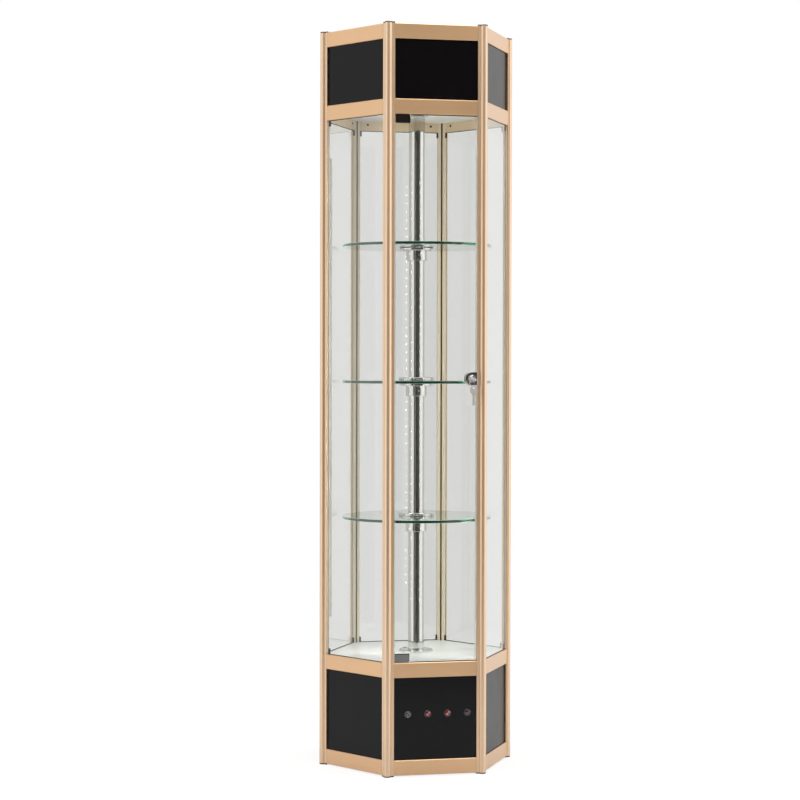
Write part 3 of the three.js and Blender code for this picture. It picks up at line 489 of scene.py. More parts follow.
class Finishes:
    """All finishes of the cabinet, each made once."""

    def __init__(self):
        self.metals(colours())
        self.plastics(colours())
        self.glazing(colours())
        self.lights(colours())

    def metals(self, c):
        upright = (2400.0, 2400.0, 3.0)
        level = (3.0, 3.0, 2400.0)
        even = (700.0, 700.0, 700.0)
        # The inner colours paint the faces towards the pole paler: painted light of the lit
        # inside.
        self.post = brushed_metal(
            "champagne_upright_painted_light",
            # Paler than the rails: a lit copy of one metal, painted highlight.
            c.lit_uprights,
            0.44,
            upright,
            oxide=1.0,
            inner=(0.97, 0.84, 0.66),
            reach=sizes().side - 0.0095,
        )
        self.rail = brushed_metal(
            "champagne_level_painted_glow", c.champagne, 0.46, level, oxide=1.0, inner=(0.874, 0.703, 0.483)
        )
        self.chrome = polished_metal("polished_chrome", c.chrome, 0.035)
        self.nickel = polished_metal("satin_nickel", c.nickel, 0.16, 300.0)
        self.brass = polished_metal("contact_brass", (0.62, 0.45, 0.20), 0.18, 300.0)
        key = (0.78, 0.73, 0.70)
        self.key = brushed_metal("key_steel", key, 0.32, (40.0, 40.0, 1500.0), metal=0.5)
        satin = (0.30, 0.30, 0.295)
        self.steel = brushed_metal("satin_steel", satin, 0.34, (60.0, 60.0, 1800.0))
        gear = (0.33, 0.34, 0.35)
        self.gear_steel = brushed_metal("gear_steel", gear, 0.33, (500.0, 500.0, 9.0))
        self.zinc = brushed_metal("zinc_screw", (0.42, 0.40, 0.36), 0.30, even)
        self.dark_screw = brushed_metal("dark_screw", (0.10, 0.075, 0.05), 0.4, even)
        self.bezel = brushed_metal("dark_bezel", (0.10, 0.095, 0.095), 0.30, (900.0,) * 3)

    def plastics(self, c):
        self.panel = laminate("black_laminate", c.panel, 0.20, gloss=0.20)
        self.roof = laminate("black_board", (0.014, 0.012, 0.012), 0.5, 500.0)
        self.board = laminate("white_laminate", c.board, 0.30, 900.0)
        self.cap = moulded_plastic("dark_end_cap", (0.030, 0.022, 0.017), 0.42)
        self.rubber = moulded_plastic("black_rubber", (0.010, 0.010, 0.010), 0.62, 2200.0)
        self.vinyl = moulded_plastic("pale_vinyl", (0.82, 0.77, 0.69), 0.34, 900.0)
        bronze = (0.010, 0.006, 0.0045)
        self.bronze = moulded_plastic("bronze_paint", bronze, 0.40, 900.0, gloss=0.15)
        self.nylon = moulded_plastic("white_nylon", (0.72, 0.70, 0.64), 0.48, 600.0)
        self.motor = moulded_plastic("motor_paint", (0.035, 0.038, 0.042), 0.46, 500.0)
        self.plastic = moulded_plastic("black_plastic", (0.014, 0.014, 0.015), 0.44)
        self.white = moulded_plastic("white_channel", (0.76, 0.75, 0.71), 0.42, 800.0)
        self.red_wire = moulded_plastic("red_wire", (0.34, 0.02, 0.016), 0.4)
        self.blue_wire = moulded_plastic("blue_wire", (0.012, 0.04, 0.20), 0.4)

    def glazing(self, c):
        self.glass = clear_glass("clear_glass", c.glass, (0.90, 0.905, 0.90))
        self.shelf = clear_glass("shelf_glass", (0.86, 0.93, 0.89), (0.88, 0.93, 0.905))
        self.edge = glass_edge("cut_glass", c.edge, tone(c.edge, 2.2))
        self.arris = glass_edge("ground_arris", (0.42, 0.62, 0.54), (0.72, 0.86, 0.80))

    def lights(self, c):
        self.tape = tape_board("diode_tape")
        self.diode = diode_light("diode", (1.0, 0.96, 0.88), 800.0)
        # Each lens: base colour, glow and painted highlight; the plum button is unlit, so its
        # faint glow is painted too.
        self.red = lens("red_lens", c.red, (0.50, 0.075, 0.14), (0.46, 0.32, 0.35))
        self.orange = lens("orange_lens", c.red, (0.62, 0.15, 0.10), (0.52, 0.38, 0.38))
        self.plum = lens("plum_lens", c.plum, (0.035, 0.006, 0.018), (0.16, 0.075, 0.11))


made = {}


def finishes():
    if "all" not in made:
        made["all"] = Finishes()
    return made["all"]


def turn_axes(degrees):
    """Outward and rightward unit vectors of a side or a post, as seen from outside."""
    angle = math.radians(degrees)
    out = np.array([math.cos(angle), math.sin(angle), 0.0])
    right = np.array([-math.sin(angle), math.cos(angle), 0.0])
    return out, right


def apothem():
    """From the pole to the middle of a side."""
    return sizes().side * math.sqrt(3) / 2


def pane_middle():
    """From the line of post centres in to the middle of a pane."""
    return sizes().slot_front + sizes().slot / 2


def laid(points, origin, x, y, z):
    """origin + x, y and z times a point's three numbers."""
    points = np.asarray(points, float)
    return origin + points[..., :1] * x + points[..., 1:2] * y + points[..., 2:] * z


def on_side(points, name):
    """Points [right, inward, up] from the middle of a side, in the row frame."""
    out, right = turn_axes(SIDES[name])
    return laid(points, out * apothem(), right, -out, UP)


def on_front(points):
    """Points [right, up, inward] from the middle of the front side, in the row frame."""
    return on_side(points[..., [0, 2, 1]], "front")


def on_post(points, name):
    """Points [outward, right, up] from the centre of a post, in the row frame."""
    out, right = turn_axes(POSTS[name])
    return laid(points, out * sizes().side, out, right, UP)


class Shell:
    """The closed surfaces of one piece, gathered ring by ring."""

    def __init__(self):
        self.points = []
        self.faces = []
        self.marks = []
        self.across = []
        self.count = 0

    def loft(self, rings, loop=False, marks=None, cap_mark=0, across=None):
        """Quads between neighbouring rings of an (n, m, 3) array, whose rings close on themselves.

        In a loop the last ring joins the first, and otherwise both ends are capped. marks gives
        each band's finish, and across each point's place on a lens.
        """
        rings = np.asarray(rings, float)
        n, m = rings.shape[:2]
        index = np.arange(n * m).reshape(n, m) + self.count
        lower = index if loop else index[:-1]
        upper = np.roll(index, -1, 0) if loop else index[1:]
        corners = [lower, np.roll(lower, -1, 1), np.roll(upper, -1, 1), upper]
        self.faces += np.stack(corners, axis=-1).reshape(-1, 4).tolist()
        bands = np.zeros(len(lower), int) if marks is None else np.asarray(marks)
        self.marks += np.repeat(bands, m).tolist()
        if not loop:
            self.faces += [index[0][::-1].tolist(), index[-1].tolist()]
            self.marks += [cap_mark, cap_mark]
        self.points.append(rings.reshape(-1, 3))
        if across is not None:
            self.across.append(np.asarray(across, float).reshape(-1, 3))
        self.count += n * m
        return self

    def piece(self, name, body, *looks, angle=32.0, replaces=(), slot=None):
        """The gathered surfaces as one object that rides on a body."""
        mesh = bpy.data.meshes.new(name)
        mesh.from_pydata(np.concatenate(self.points).tolist(), [], self.faces)
        mesh.polygons.foreach_set("material_index", np.array(self.marks, np.int32))
        if self.across:
            store = mesh.attributes.new("across", "FLOAT_VECTOR", "POINT")
            places = np.concatenate(self.across).ravel()
            store.data.foreach_set("vector", places.astype(np.float32))
        work = bmesh.new()
        work.from_mesh(mesh)
        bmesh.ops.recalc_face_normals(work, faces=work.faces)
        work.to_mesh(mesh)
        work.free()
        mesh.shade_smooth()
        mesh.set_sharp_from_angle(angle=math.radians(angle))
        for look in looks:
            mesh.materials.append(look.material)
        piece = bpy.data.objects.new(name, mesh)
        bpy.context.scene.collection.objects.link(piece)
        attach(piece, body)
        weight = piece.modifiers.new("Normals", "WEIGHTED_NORMAL")
        weight.keep_sharp = True
        weight.weight = 80
        if replaces:
            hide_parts(*replaces)
        return piece


def circle(radius, steps, phase=0.0):
    """radius (cos t, sin t) for t all round."""
    t = np.linspace(0.0, 2 * np.pi, steps, endpoint=False) + phase
    return np.stack([np.cos(t), np.sin(t)], -1) * radius


def arc(centre, radius, start, end, steps):
    """centre + radius (cos t, sin t) for t from start to end, in degrees."""
    t = np.radians(np.linspace(start, end, steps))
    return np.asarray(centre) + np.stack([np.cos(t), np.sin(t)], -1) * radius


def eased(points, radius, steps=3):
    """Corners turned into parabolas: (1-t)^2 A + 2t(1-t) B + t^2 C, A and C a radius from B."""
    points = np.asarray(points, float)
    before = np.roll(points, 1, 0) - points
    after = np.roll(points, -1, 0) - points
    size_before = np.linalg.norm(before, axis=1, keepdims=True)
    size_after = np.linalg.norm(after, axis=1, keepdims=True)
    first = points + before / size_before * np.minimum(radius, 0.45 * size_before)
    last = points + after / size_after * np.minimum(radius, 0.45 * size_after)
    t = np.linspace(0.0, 1.0, steps)[None, :, None]
    start = (1 - t) ** 2 * first[:, None]
    middle = 2 * t * (1 - t) * points[:, None]
    curve = start + middle + t**2 * last[:, None]
    return curve.reshape(-1, points.shape[1])


def inset(outline, distance):
    """Each corner of a counter-clockwise outline moved inwards along its mitre."""
    ahead = np.roll(outline, -1, 0) - outline
    ahead = ahead / np.maximum(np.linalg.norm(ahead, axis=1, keepdims=True), 1e-12)
    inward = np.stack([-ahead[:, 1], ahead[:, 0]], -1)
    back = np.roll(inward, 1, 0)
    shared = 1 + np.sum(inward * back, axis=1, keepdims=True)
    return outline + distance * (inward + back) / np.maximum(shared, 0.35)


def stacked(rows):
    """Flat rings, each at the height that stands with it."""
    return np.array([np.column_stack([ring, np.full(len(ring), z)]) for ring, z in rows])


def bar(outline, start, end, edge=0.0004, steps=3):
    """An outline carried from start to end, whose end edges are quarter rounds.

    At angle a the ring is inset by edge (1 - sin a) at a depth of edge (1 - cos a).
    """
    a = np.linspace(0.0, np.pi / 2, steps)
    insets = edge * (1 - np.sin(a))
    depths = edge * (1 - np.cos(a)) * (1.0 if end > start else -1.0)
    near = [(inset(outline, i), start + d) for i, d in zip(insets, depths)]
    far = [(inset(outline, i), end - d) for i, d in zip(insets[::-1], depths[::-1])]
    return stacked(near + far)


def lathe(profile, steps):
    """Profile points [radius, height] turned about the upright axis: (r cos t, r sin t, h)."""
    profile = np.asarray(profile, float)
    flat = profile[:, None, :1] * circle(1.0, steps)[None]
    height = np.broadcast_to(profile[:, 1][:, None, None], (len(profile), steps, 1))
    return np.concatenate([flat, height], -1)


def rounded_box_outline(width, height, radius, steps=4):
    """A rectangle about the origin with eased corners."""
    x = width / 2
    y = height / 2
    return eased([[-x, -y], [x, -y], [x, y], [-x, y]], radius, steps)


def block(low, high, radius, edge=None):
    """A rounded block between two corners, as rings along the third axis."""
    low = np.asarray(low, float)
    high = np.asarray(high, float)
    outline = rounded_box_outline(high[0] - low[0], high[1] - low[1], radius)
    rings = bar(outline, low[2], high[2], radius if edge is None else edge)
    rings[..., :2] += (low[:2] + high[:2]) / 2
    return rings


def tube(path, radius, steps=10, closed=False, guide=(0.0, 0.0, 1.0)):
    """A circle carried along a path: P + r (N cos t + B sin t), N square to path and guide."""
    path = np.asarray(path, float)
    if closed:
        ahead = np.roll(path, -1, 0) - np.roll(path, 1, 0)
    else:
        ahead = np.gradient(path, axis=0)
    ahead = ahead / np.linalg.norm(ahead, axis=1, keepdims=True)
    across = np.cross(ahead, np.asarray(guide, float))
    across = across / np.linalg.norm(across, axis=1, keepdims=True)
    other = np.cross(ahead, across)
    ring = circle(radius, steps)[None]
    return path[:, None] + ring[..., :1] * across[:, None] + ring[..., 1:] * other[:, None]


def smooth_path(points):
    """A curve through points, whose slope at each is half the step between its neighbours.

    From B to C, after A and before D, it is half of
    2B + (C-A)t + (2A-5B+4C-D)t^2 + (3B-A-3C+D)t^3.
    """
    points = np.asarray(points, float)
    first = 2 * points[:1] - points[1:2]
    last = 2 * points[-1:] - points[-2:-1]
    padded = np.concatenate([first, points, last])
    a, b, c, d = (part[:, None] for part in (padded[:-3], padded[1:-2], padded[2:-1], padded[3:]))
    t = np.linspace(0.0, 1.0, 8, endpoint=False)[None, :, None]
    bend = (2 * a - 5 * b + 4 * c - d) * t**2
    twist = (3 * b - a - 3 * c + d) * t**3
    curve = 0.5 * (2 * b + (c - a) * t + bend + twist)
    return np.concatenate([curve.reshape(-1, 3), points[-1:]])


def aimed(rings, centre, axis):
    """Rings built about the upright axis, turned so that up runs along an axis, and moved."""
    axis = np.asarray(axis, float)
    helper = UP if abs(axis[2]) < 0.9 else np.array([1.0, 0.0, 0.0])
    across = np.cross(helper, axis)
    across = across / np.linalg.norm(across)
    other = np.cross(axis, across)
    return laid(rings, np.asarray(centre, float), across, other, axis)


def facing_out(rings, centre):
    """Rings built about the upright axis, turned to look out of the front side."""
    return on_side(aimed(rings, centre, (0, -1, 0)), "front")


def polar(reach, steps, phase=0.0):
    """A ring of given reaches at even angles."""
    return circle(1.0, steps, phase) * reach[:, None]


def slot_reach(half_length, half_width, steps, phase=0.0):
    """How far a rectangle reaches at each angle: the smaller of L / |cos t| and W / |sin t|."""
    t = np.linspace(0.0, 2 * np.pi, steps, endpoint=False) + phase
    c = np.maximum(np.abs(np.cos(t)), 1e-6)
    s = np.maximum(np.abs(np.sin(t)), 1e-6)
    return np.minimum(half_length / c, half_width / s)


def screw_rings(radius, height):
    """A pan head about the upright axis with a crossed recess, from its underside to its floor.

    The recess reaches as far as the larger of two crossed rectangles at each angle.
    """
    steps = 24
    phase = np.pi / steps
    head = circle(radius, steps, phase)
    long = radius * 0.55
    wide = radius * 0.14
    first = slot_reach(long, wide, steps, phase)
    second = slot_reach(wide, long, steps, phase)
    mouth = polar(np.maximum(first, second), steps, phase)
    rows = (
        (head, 0.0),
        (head, 0.35),
        (head * 0.90, 0.78),
        (head * 0.66, 1.0),
        (mouth, 1.0),
        (mouth * 0.8, 0.35),
    )
    return stacked([(ring, height * share) for ring, share in rows])


def socket_rings(radius, length):
    """A set screw about the upright axis: a short rod whose end has a six-sided recess."""
    steps = 24
    rod = circle(radius, steps)
    t = np.linspace(0.0, 2 * np.pi, steps, endpoint=False)
    mouth = polar(radius * 0.5 / np.cos(np.mod(t, np.pi / 3) - np.pi / 6), steps)
    rows = (
        (rod * 0.9, -length),
        (rod, -length * 0.9),
        (rod, -radius * 0.15),
        (rod * 0.88, 0.0),
        (mouth, 0.0),
        (mouth * 0.9, -length * 0.5),
    )
    return stacked(rows)


def dress(node, *looks, width, pick=None, slot):
    """Finishes on a CAD node, which stays as it is, with its edges rounded by a modifier.

    pick gives each face's finish from its normal, and a third look goes on the rounded edges.
    """
    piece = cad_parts[node]
    mesh = piece.data
    mesh.materials.clear()
    for look in looks:
        mesh.materials.append(look.material)
    count = len(mesh.polygons)
    marks = np.zeros(count, np.int32)
    if pick is not None:
        normals = np.zeros(count * 3, np.float32)
        mesh.polygons.foreach_get("normal", normals)
        marks = pick(normals.reshape(-1, 3)).astype(np.int32)
    mesh.polygons.foreach_set("material_index", marks)
    weld = piece.modifiers.new("Weld", "WELD")
    weld.merge_threshold = 0.00001
    bevel = piece.modifiers.new("Edges", "BEVEL")
    bevel.width = width
    bevel.segments = 2
    bevel.limit_method = "ANGLE"
    bevel.angle_limit = math.radians(35)
    bevel.use_clamp_overlap = True
    if len(looks) > 2:
        bevel.material = 2


def pan_heads(name, body, look, radius, height, centres, axis, side=None):
    """Pan head screws that look along one axis, as one piece."""
    shell = Shell()
    for centre in centres:
        rings = aimed(screw_rings(radius, height), centre, axis)
        shell.loft(rings if side is None else on_side(rings, side))
    shell.piece(name, body, look)


def post_half(s):
    """Half of a post's section [outward, right].

    It runs from the bead by a groove, the wing with its slot and the inner face to the nose.
    """
    r = s.bead / 2
    turn = math.radians(120)
    along = np.array([math.cos(turn), math.sin(turn)])
    inward = np.array([-math.sin(turn), math.cos(turn)])
    meet = math.sqrt(r * r - s.proud * s.proud)
    start = 120 - math.degrees(math.atan2(s.proud, meet))
    bead = arc((0.0, 0.0), r, 0.0, start - 3.0, 22)
    groove = 0.0003
    soft = 0.0006
    inner = s.depth - s.proud
    back = s.slot_front + s.slot
    floor = s.wing - s.slot_depth
    web = [
        [meet + groove * 0.2, groove - s.proud],
        [meet + groove * 1.6, -s.proud],
        [s.wing - soft, -s.proud],
        [s.wing - soft * 0.3, soft * 0.3 - s.proud],
        [s.wing, soft - s.proud],
        [s.wing, s.slot_front],
        [floor, s.slot_front],
        [floor, back],
        [s.wing, back],
        [s.wing, inner - soft],
        [s.wing - soft * 0.3, inner - soft * 0.3],
        [s.wing - soft, inner],
    ]
    web = np.array(web) @ np.array([along, inward])
    tip = s.nose / 2
    centre = np.array([tip - s.nose_reach, 0.0])
    edge = s.wing * along + inner * inward
    gap = edge - centre
    run = gap @ along - math.sqrt(tip * tip - (gap @ inward) ** 2)
    join = edge - along * run
    angle = math.degrees(math.atan2(join[1] - centre[1], join[0] - centre[0]))
    slit = s.slit_width / 2
    mouth = math.degrees(math.asin(slit / tip))
    nose = arc(centre, tip, angle, 180.0 - mouth, 8)
    root = s.slit - s.nose_reach
    return np.concatenate([bead, web, nose, [[root, slit], [root, 0.0]]])


def post_outline(s):
    """A post's whole section, mirrored about its outward line."""
    half = post_half(s)
    mirror = half[1:-1][::-1] * np.array([1.0, -1.0])
    return np.concatenate([half, mirror])


def strip_cover(s):
    """A rubber strip's section: an arc that lies on the round nose, with a root in its slit."""
    tip = s.nose / 2
    centre = (tip - s.nose_reach, 0.0)
    spread = 30.0
    below = tip + 0.0001
    half = s.slit_width / 2 - 0.0005
    mouth = math.degrees(math.asin(half / below))
    root = 0.0015 - s.nose_reach
    outer = arc(centre, tip + 0.0004, 180.0 - spread, 180.0 + spread, 9)
    first = arc(centre, below, 180.0 + spread, 180.0 + mouth, 3)
    last = arc(centre, below, 180.0 - mouth, 180.0 - spread, 3)
    return np.concatenate([outer, first, [[root, -half], [root, half]], last])


class CABINET_OT_posts(bpy.types.Operator):
    """Make the six posts, the rubber strips in their slits, whose black also paints the slits'
    shade, and their end caps
    """

    bl_idname = "cabinet.posts"
    bl_label = "Posts"

    def execute(self, context):
        s = sizes()
        f = finishes()
        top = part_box("post_left")[1][2]
        outline = post_outline(s)
        cover = inset(outline, 0.0002)
        column = bar(outline, s.cap, top - s.cap, 0.0002, 2)
        back = 0.0003 - s.nose_reach
        half = s.slit_width / 2 - 0.0001
        fill = [[back, -half], [back + 0.003, -half], [back + 0.003, half], [back, half]]
        slit_fill_and_shade = bar(eased(fill, 0.0003, 2), s.cap, top - s.cap, 0.0002, 2)
        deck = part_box("deck_board")[1][2] + s.seam
        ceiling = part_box("ceiling_board")[0][2] - s.seam
        nose_cover_and_shade = bar(strip_cover(s), deck, ceiling, 0.0001, 2)
        for name in POSTS:
            node = "post_" + name
            post = Shell().loft(on_post(column, name))
            post.piece(
                node + "_profile", "cabinet", f.post, replaces=(node,), slot="champagne_aluminium"
            )
            # Black rubber in the slits: a cover strip, and painted shade where the slit would be
            # dark.
            if name not in STRIPS:
                strip = Shell().loft(on_post(slit_fill_and_shade, name)).loft(on_post(nose_cover_and_shade, name))
                strip.piece(node + "_slit_strip", "cabinet", f.rubber)
            for end, low, high in (("foot", 0.0, s.cap), ("top", top - s.cap, top)):
                cap = Shell().loft(on_post(bar(cover, low, high, 0.0005), name))
                cap.piece(f"{node}_{end}_cap", "cabinet", f.cap, replaces=(node,))
        return {"FINISHED"}


def rail_outline(s, above, below):
    """A rail's section [inward, up] with a slot in its upper or lower edge."""
    inner = s.depth - s.proud
    near = s.slot_front
    far = near + s.slot
    c = s.chamfer
    points = [[c - s.proud, 0.0]]
    if below:
        points += [[near, 0.0], [near, s.slot_depth], [far, s.slot_depth], [far, 0.0]]
    points += [[inner, 0.0], [inner, s.rail]]
    if above:
        floor = s.rail - s.slot_depth
        points += [[far, s.rail], [far, floor], [near, floor], [near, s.rail]]
    points += [[c - s.proud, s.rail], [-s.proud, s.rail - c], [-s.proud, c]]
    return eased(points, 0.0003)


def hexagon(flat, corner):
    """Twelve points of a hexagon with cut corners: where each side meets a corner's line."""
    side = np.radians(np.arange(6) * 60.0 + 30.0)
    points = []
    for turn in (-30.0, 30.0):
        other = side + np.radians(turn)
        det = np.cos(side) * np.sin(other) - np.sin(side) * np.cos(other)
        x = (flat * np.sin(other) - corner * np.sin(side)) / det
        y = (corner * np.cos(side) - flat * np.cos(other)) / det
        points.append(np.stack([x, y], -1))
    return np.stack(points, 1).reshape(-1, 2)


def ledge_rings(s, low, high):
    """A flat ring behind the rails: outer and inner outlines at two heights, in a loop."""
    flat = apothem() - (s.depth - s.proud) + 0.0002
    within = flat - 0.0202
    outer = hexagon(flat, s.side - 0.0165)
    inner = hexagon(within, within / math.cos(math.pi / 6) - 0.001)
    return stacked([(outer, high), (outer, low), (inner, low), (inner, high)])


class CABINET_OT_rails(bpy.types.Operator):
    """Make the four levels of rails, the ledges behind them and their screws"""

    bl_idname = "cabinet.rails"
    bl_label = "Rails"

    def execute(self, context):
        s = sizes()
        f = finishes()
        half = s.side / 2 - s.wing - s.seam
        inner = s.depth - s.proud
        levels = (
            ("bottom", True, False, "floor_board"),
            ("deck", True, True, "deck_board"),
            ("canopy", True, True, "ceiling_board"),
            ("top", False, True, "roof_board"),
        )
        for level, above, below, board in levels:
            node = level + "_rail_ring"
            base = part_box(node)[0][2]
            centres = [(x, inner, 0.017 + base) for x in (-0.090, 0.090)]
            for name in SIDES:
                door = name == "front"
                up = above and not (door and level == "deck")
                down = below and not (door and level == "canopy")
                rings = bar(rail_outline(s, up, down), -half, half, 0.0002, 2)
                rail = Shell().loft(on_side(rings[..., [2, 0, 1]] + UP * base, name))
                rail.piece(
                    f"{level}_rail_{name}",
                    "cabinet",
                    f.rail,
                    replaces=(node,),
                    slot="champagne_aluminium",
                )
                screws = f"{level}_screws_{name}"
                look = f.dark_screw
                pan_heads(screws, "cabinet", look, 0.0034, 0.0016, centres, (0, 1, 0), name)
            low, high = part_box(board)
            start = high[2] + 0.0003 if level == "canopy" else low[2] - 0.0033
            plate = Shell().loft(ledge_rings(s, start, start + 0.003), loop=True)
            plate.piece(level + "_ledge", "cabinet", f.rail, replaces=(node,))
        return {"FINISHED"}


class CABINET_OT_panels(bpy.types.Operator):
    """Finish the black panels and the four boards"""

    bl_idname = "cabinet.panels"
    bl_label = "Panels and boards"

    def execute(self, context):
        f = finishes()
        for name in SIDES:
            for part in ("base_panel_", "canopy_panel_"):
                dress(part + name, f.panel, width=0.0003, slot="black_panel")
        dress("deck_board", f.board, width=0.0006, slot="white_board")
        dress("ceiling_board", f.board, width=0.0004, slot="white_board")
        for node in ("floor_board", "roof_board"):
            dress(node, f.roof, width=0.0006, slot="black_board")
        return {"FINISHED"}


def pane_pick(name):
    """A rule that marks a pane's broad faces 0 and its cut edges 1."""
    out = turn_axes(SIDES[name])[0]
    return lambda normals: np.where(np.abs(normals @ out) > 0.7, 0, 1)


def lip(start, end, across, out):
    """A soft lip carried from start to end: a wedge, wide across and low outwards."""
    wedge = [(-0.45, 0.0), (0.5, 0.0), (0.5, 0.25), (0.3, 0.7), (0.0, 1.0), (-0.45, 1.0)]
    section = eased(np.array(wedge) * np.array([0.0026, 0.0010]), 0.0003, 2)
    profile = section[:, :1] * across + section[:, 1:] * out
    return np.stack([profile + start, profile + end])


class CABINET_OT_panes(bpy.types.Operator):
    """Finish the fixed panes, with rubber lips and corner pads round them"""

    bl_idname = "cabinet.panes"
    bl_label = "Fixed glass"

    def execute(self, context):
        f = finishes()
        opening = sizes().side / 2 - sizes().wing
        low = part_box("deck_rail_ring")[1][2]
        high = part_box("canopy_rail_ring")[0][2]
        middle = pane_middle()
        for name in SIDES:
            if name != "front":
                node = "glass_" + name
                pick = pane_pick(name)
                dress(node, f.glass, f.edge, width=0.0004, pick=pick, slot="clear_glass")
                self.lips(f, name, opening, low, high, middle)
                self.pads(f, name, opening, low, high, middle)
        self.door_stops_and_gap_shade(f, opening, low, high, middle)
        return {"FINISHED"}

    def lips(self, f, name, opening, low, high, middle):
        """Lips along the rails and the posts, on both faces of a pane."""
        level = Shell()
        upright = Shell()
        for way in (-1, 1):
            y = middle + way * 0.0025
            out = (0, way, 0)
            for z, rise in ((low, 1), (high, -1)):
                ends = ((-opening, y, z), (opening, y, z))
                level.loft(on_side(lip(*ends, (0, 0, rise), out), name))
            for x in (-1, 1):
                ends = ((x * opening, y, low), (x * opening, y, high))
                upright.loft(on_side(lip(*ends, (-x, 0, 0), out), name))
        level.piece("gasket_" + name, "cabinet", f.rubber, angle=20)
        upright.piece("side_lips_" + name, "cabinet", f.vinyl, angle=20)

    def pads(self, f, name, opening, low, high, middle):
        """A small block in each inner corner of a pane."""
        pads = Shell()
        half = np.array([0.0022, 0.0022, 0.0072])
        for x in (-1, 1):
            for z, way in ((low, 1), (high, -1)):
                corner = np.array([x * (opening - 0.0025), middle + 0.0050, z + way * 0.008])
                pads.loft(on_side(block(corner - half, corner + half, 0.0007), name))
        pads.piece("corner_pads_" + name, "cabinet", f.rubber)

    def door_stops_and_gap_shade(self, f, opening, low, high, middle):
        """Rubber beads on the rails above and below the door, clear of its hinge clamps, whose
        black also paints the shade in the gap along the door.
        """
        x0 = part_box("door_clamp_top")[1][0] + 0.003
        x1 = opening - 0.0005
        shell = Shell()
        # Painted shade: the black beads also stand for the dark gap above and below the door.
        for z, way in ((low, 1), (high, -1)):
            bead = np.array([[-0.0022, 0.0], [0.0022, 0.0], [0.0020, 0.0020], [-0.0020, 0.0020]])
            section = eased(bead * np.array([1.0, way]), 0.0006) + np.array([middle, z])
            rings = stacked([(section, x0), (section, x1)])
            shell.loft(on_side(rings[..., [2, 0, 1]], "front"))
        shell.piece("door_stops_and_gap_shade", "cabinet", f.rubber)


def turned_piece(body, node, part, points, steps=96, radius=0.0004):
    """A closed section with eased corners, turned about the pole's axis, in chrome."""
    shell = Shell().loft(lathe(eased(points, radius), steps), loop=True)
    shell.piece(f"{node}_{part}", body, finishes().chrome, replaces=(node,), slot="chrome")


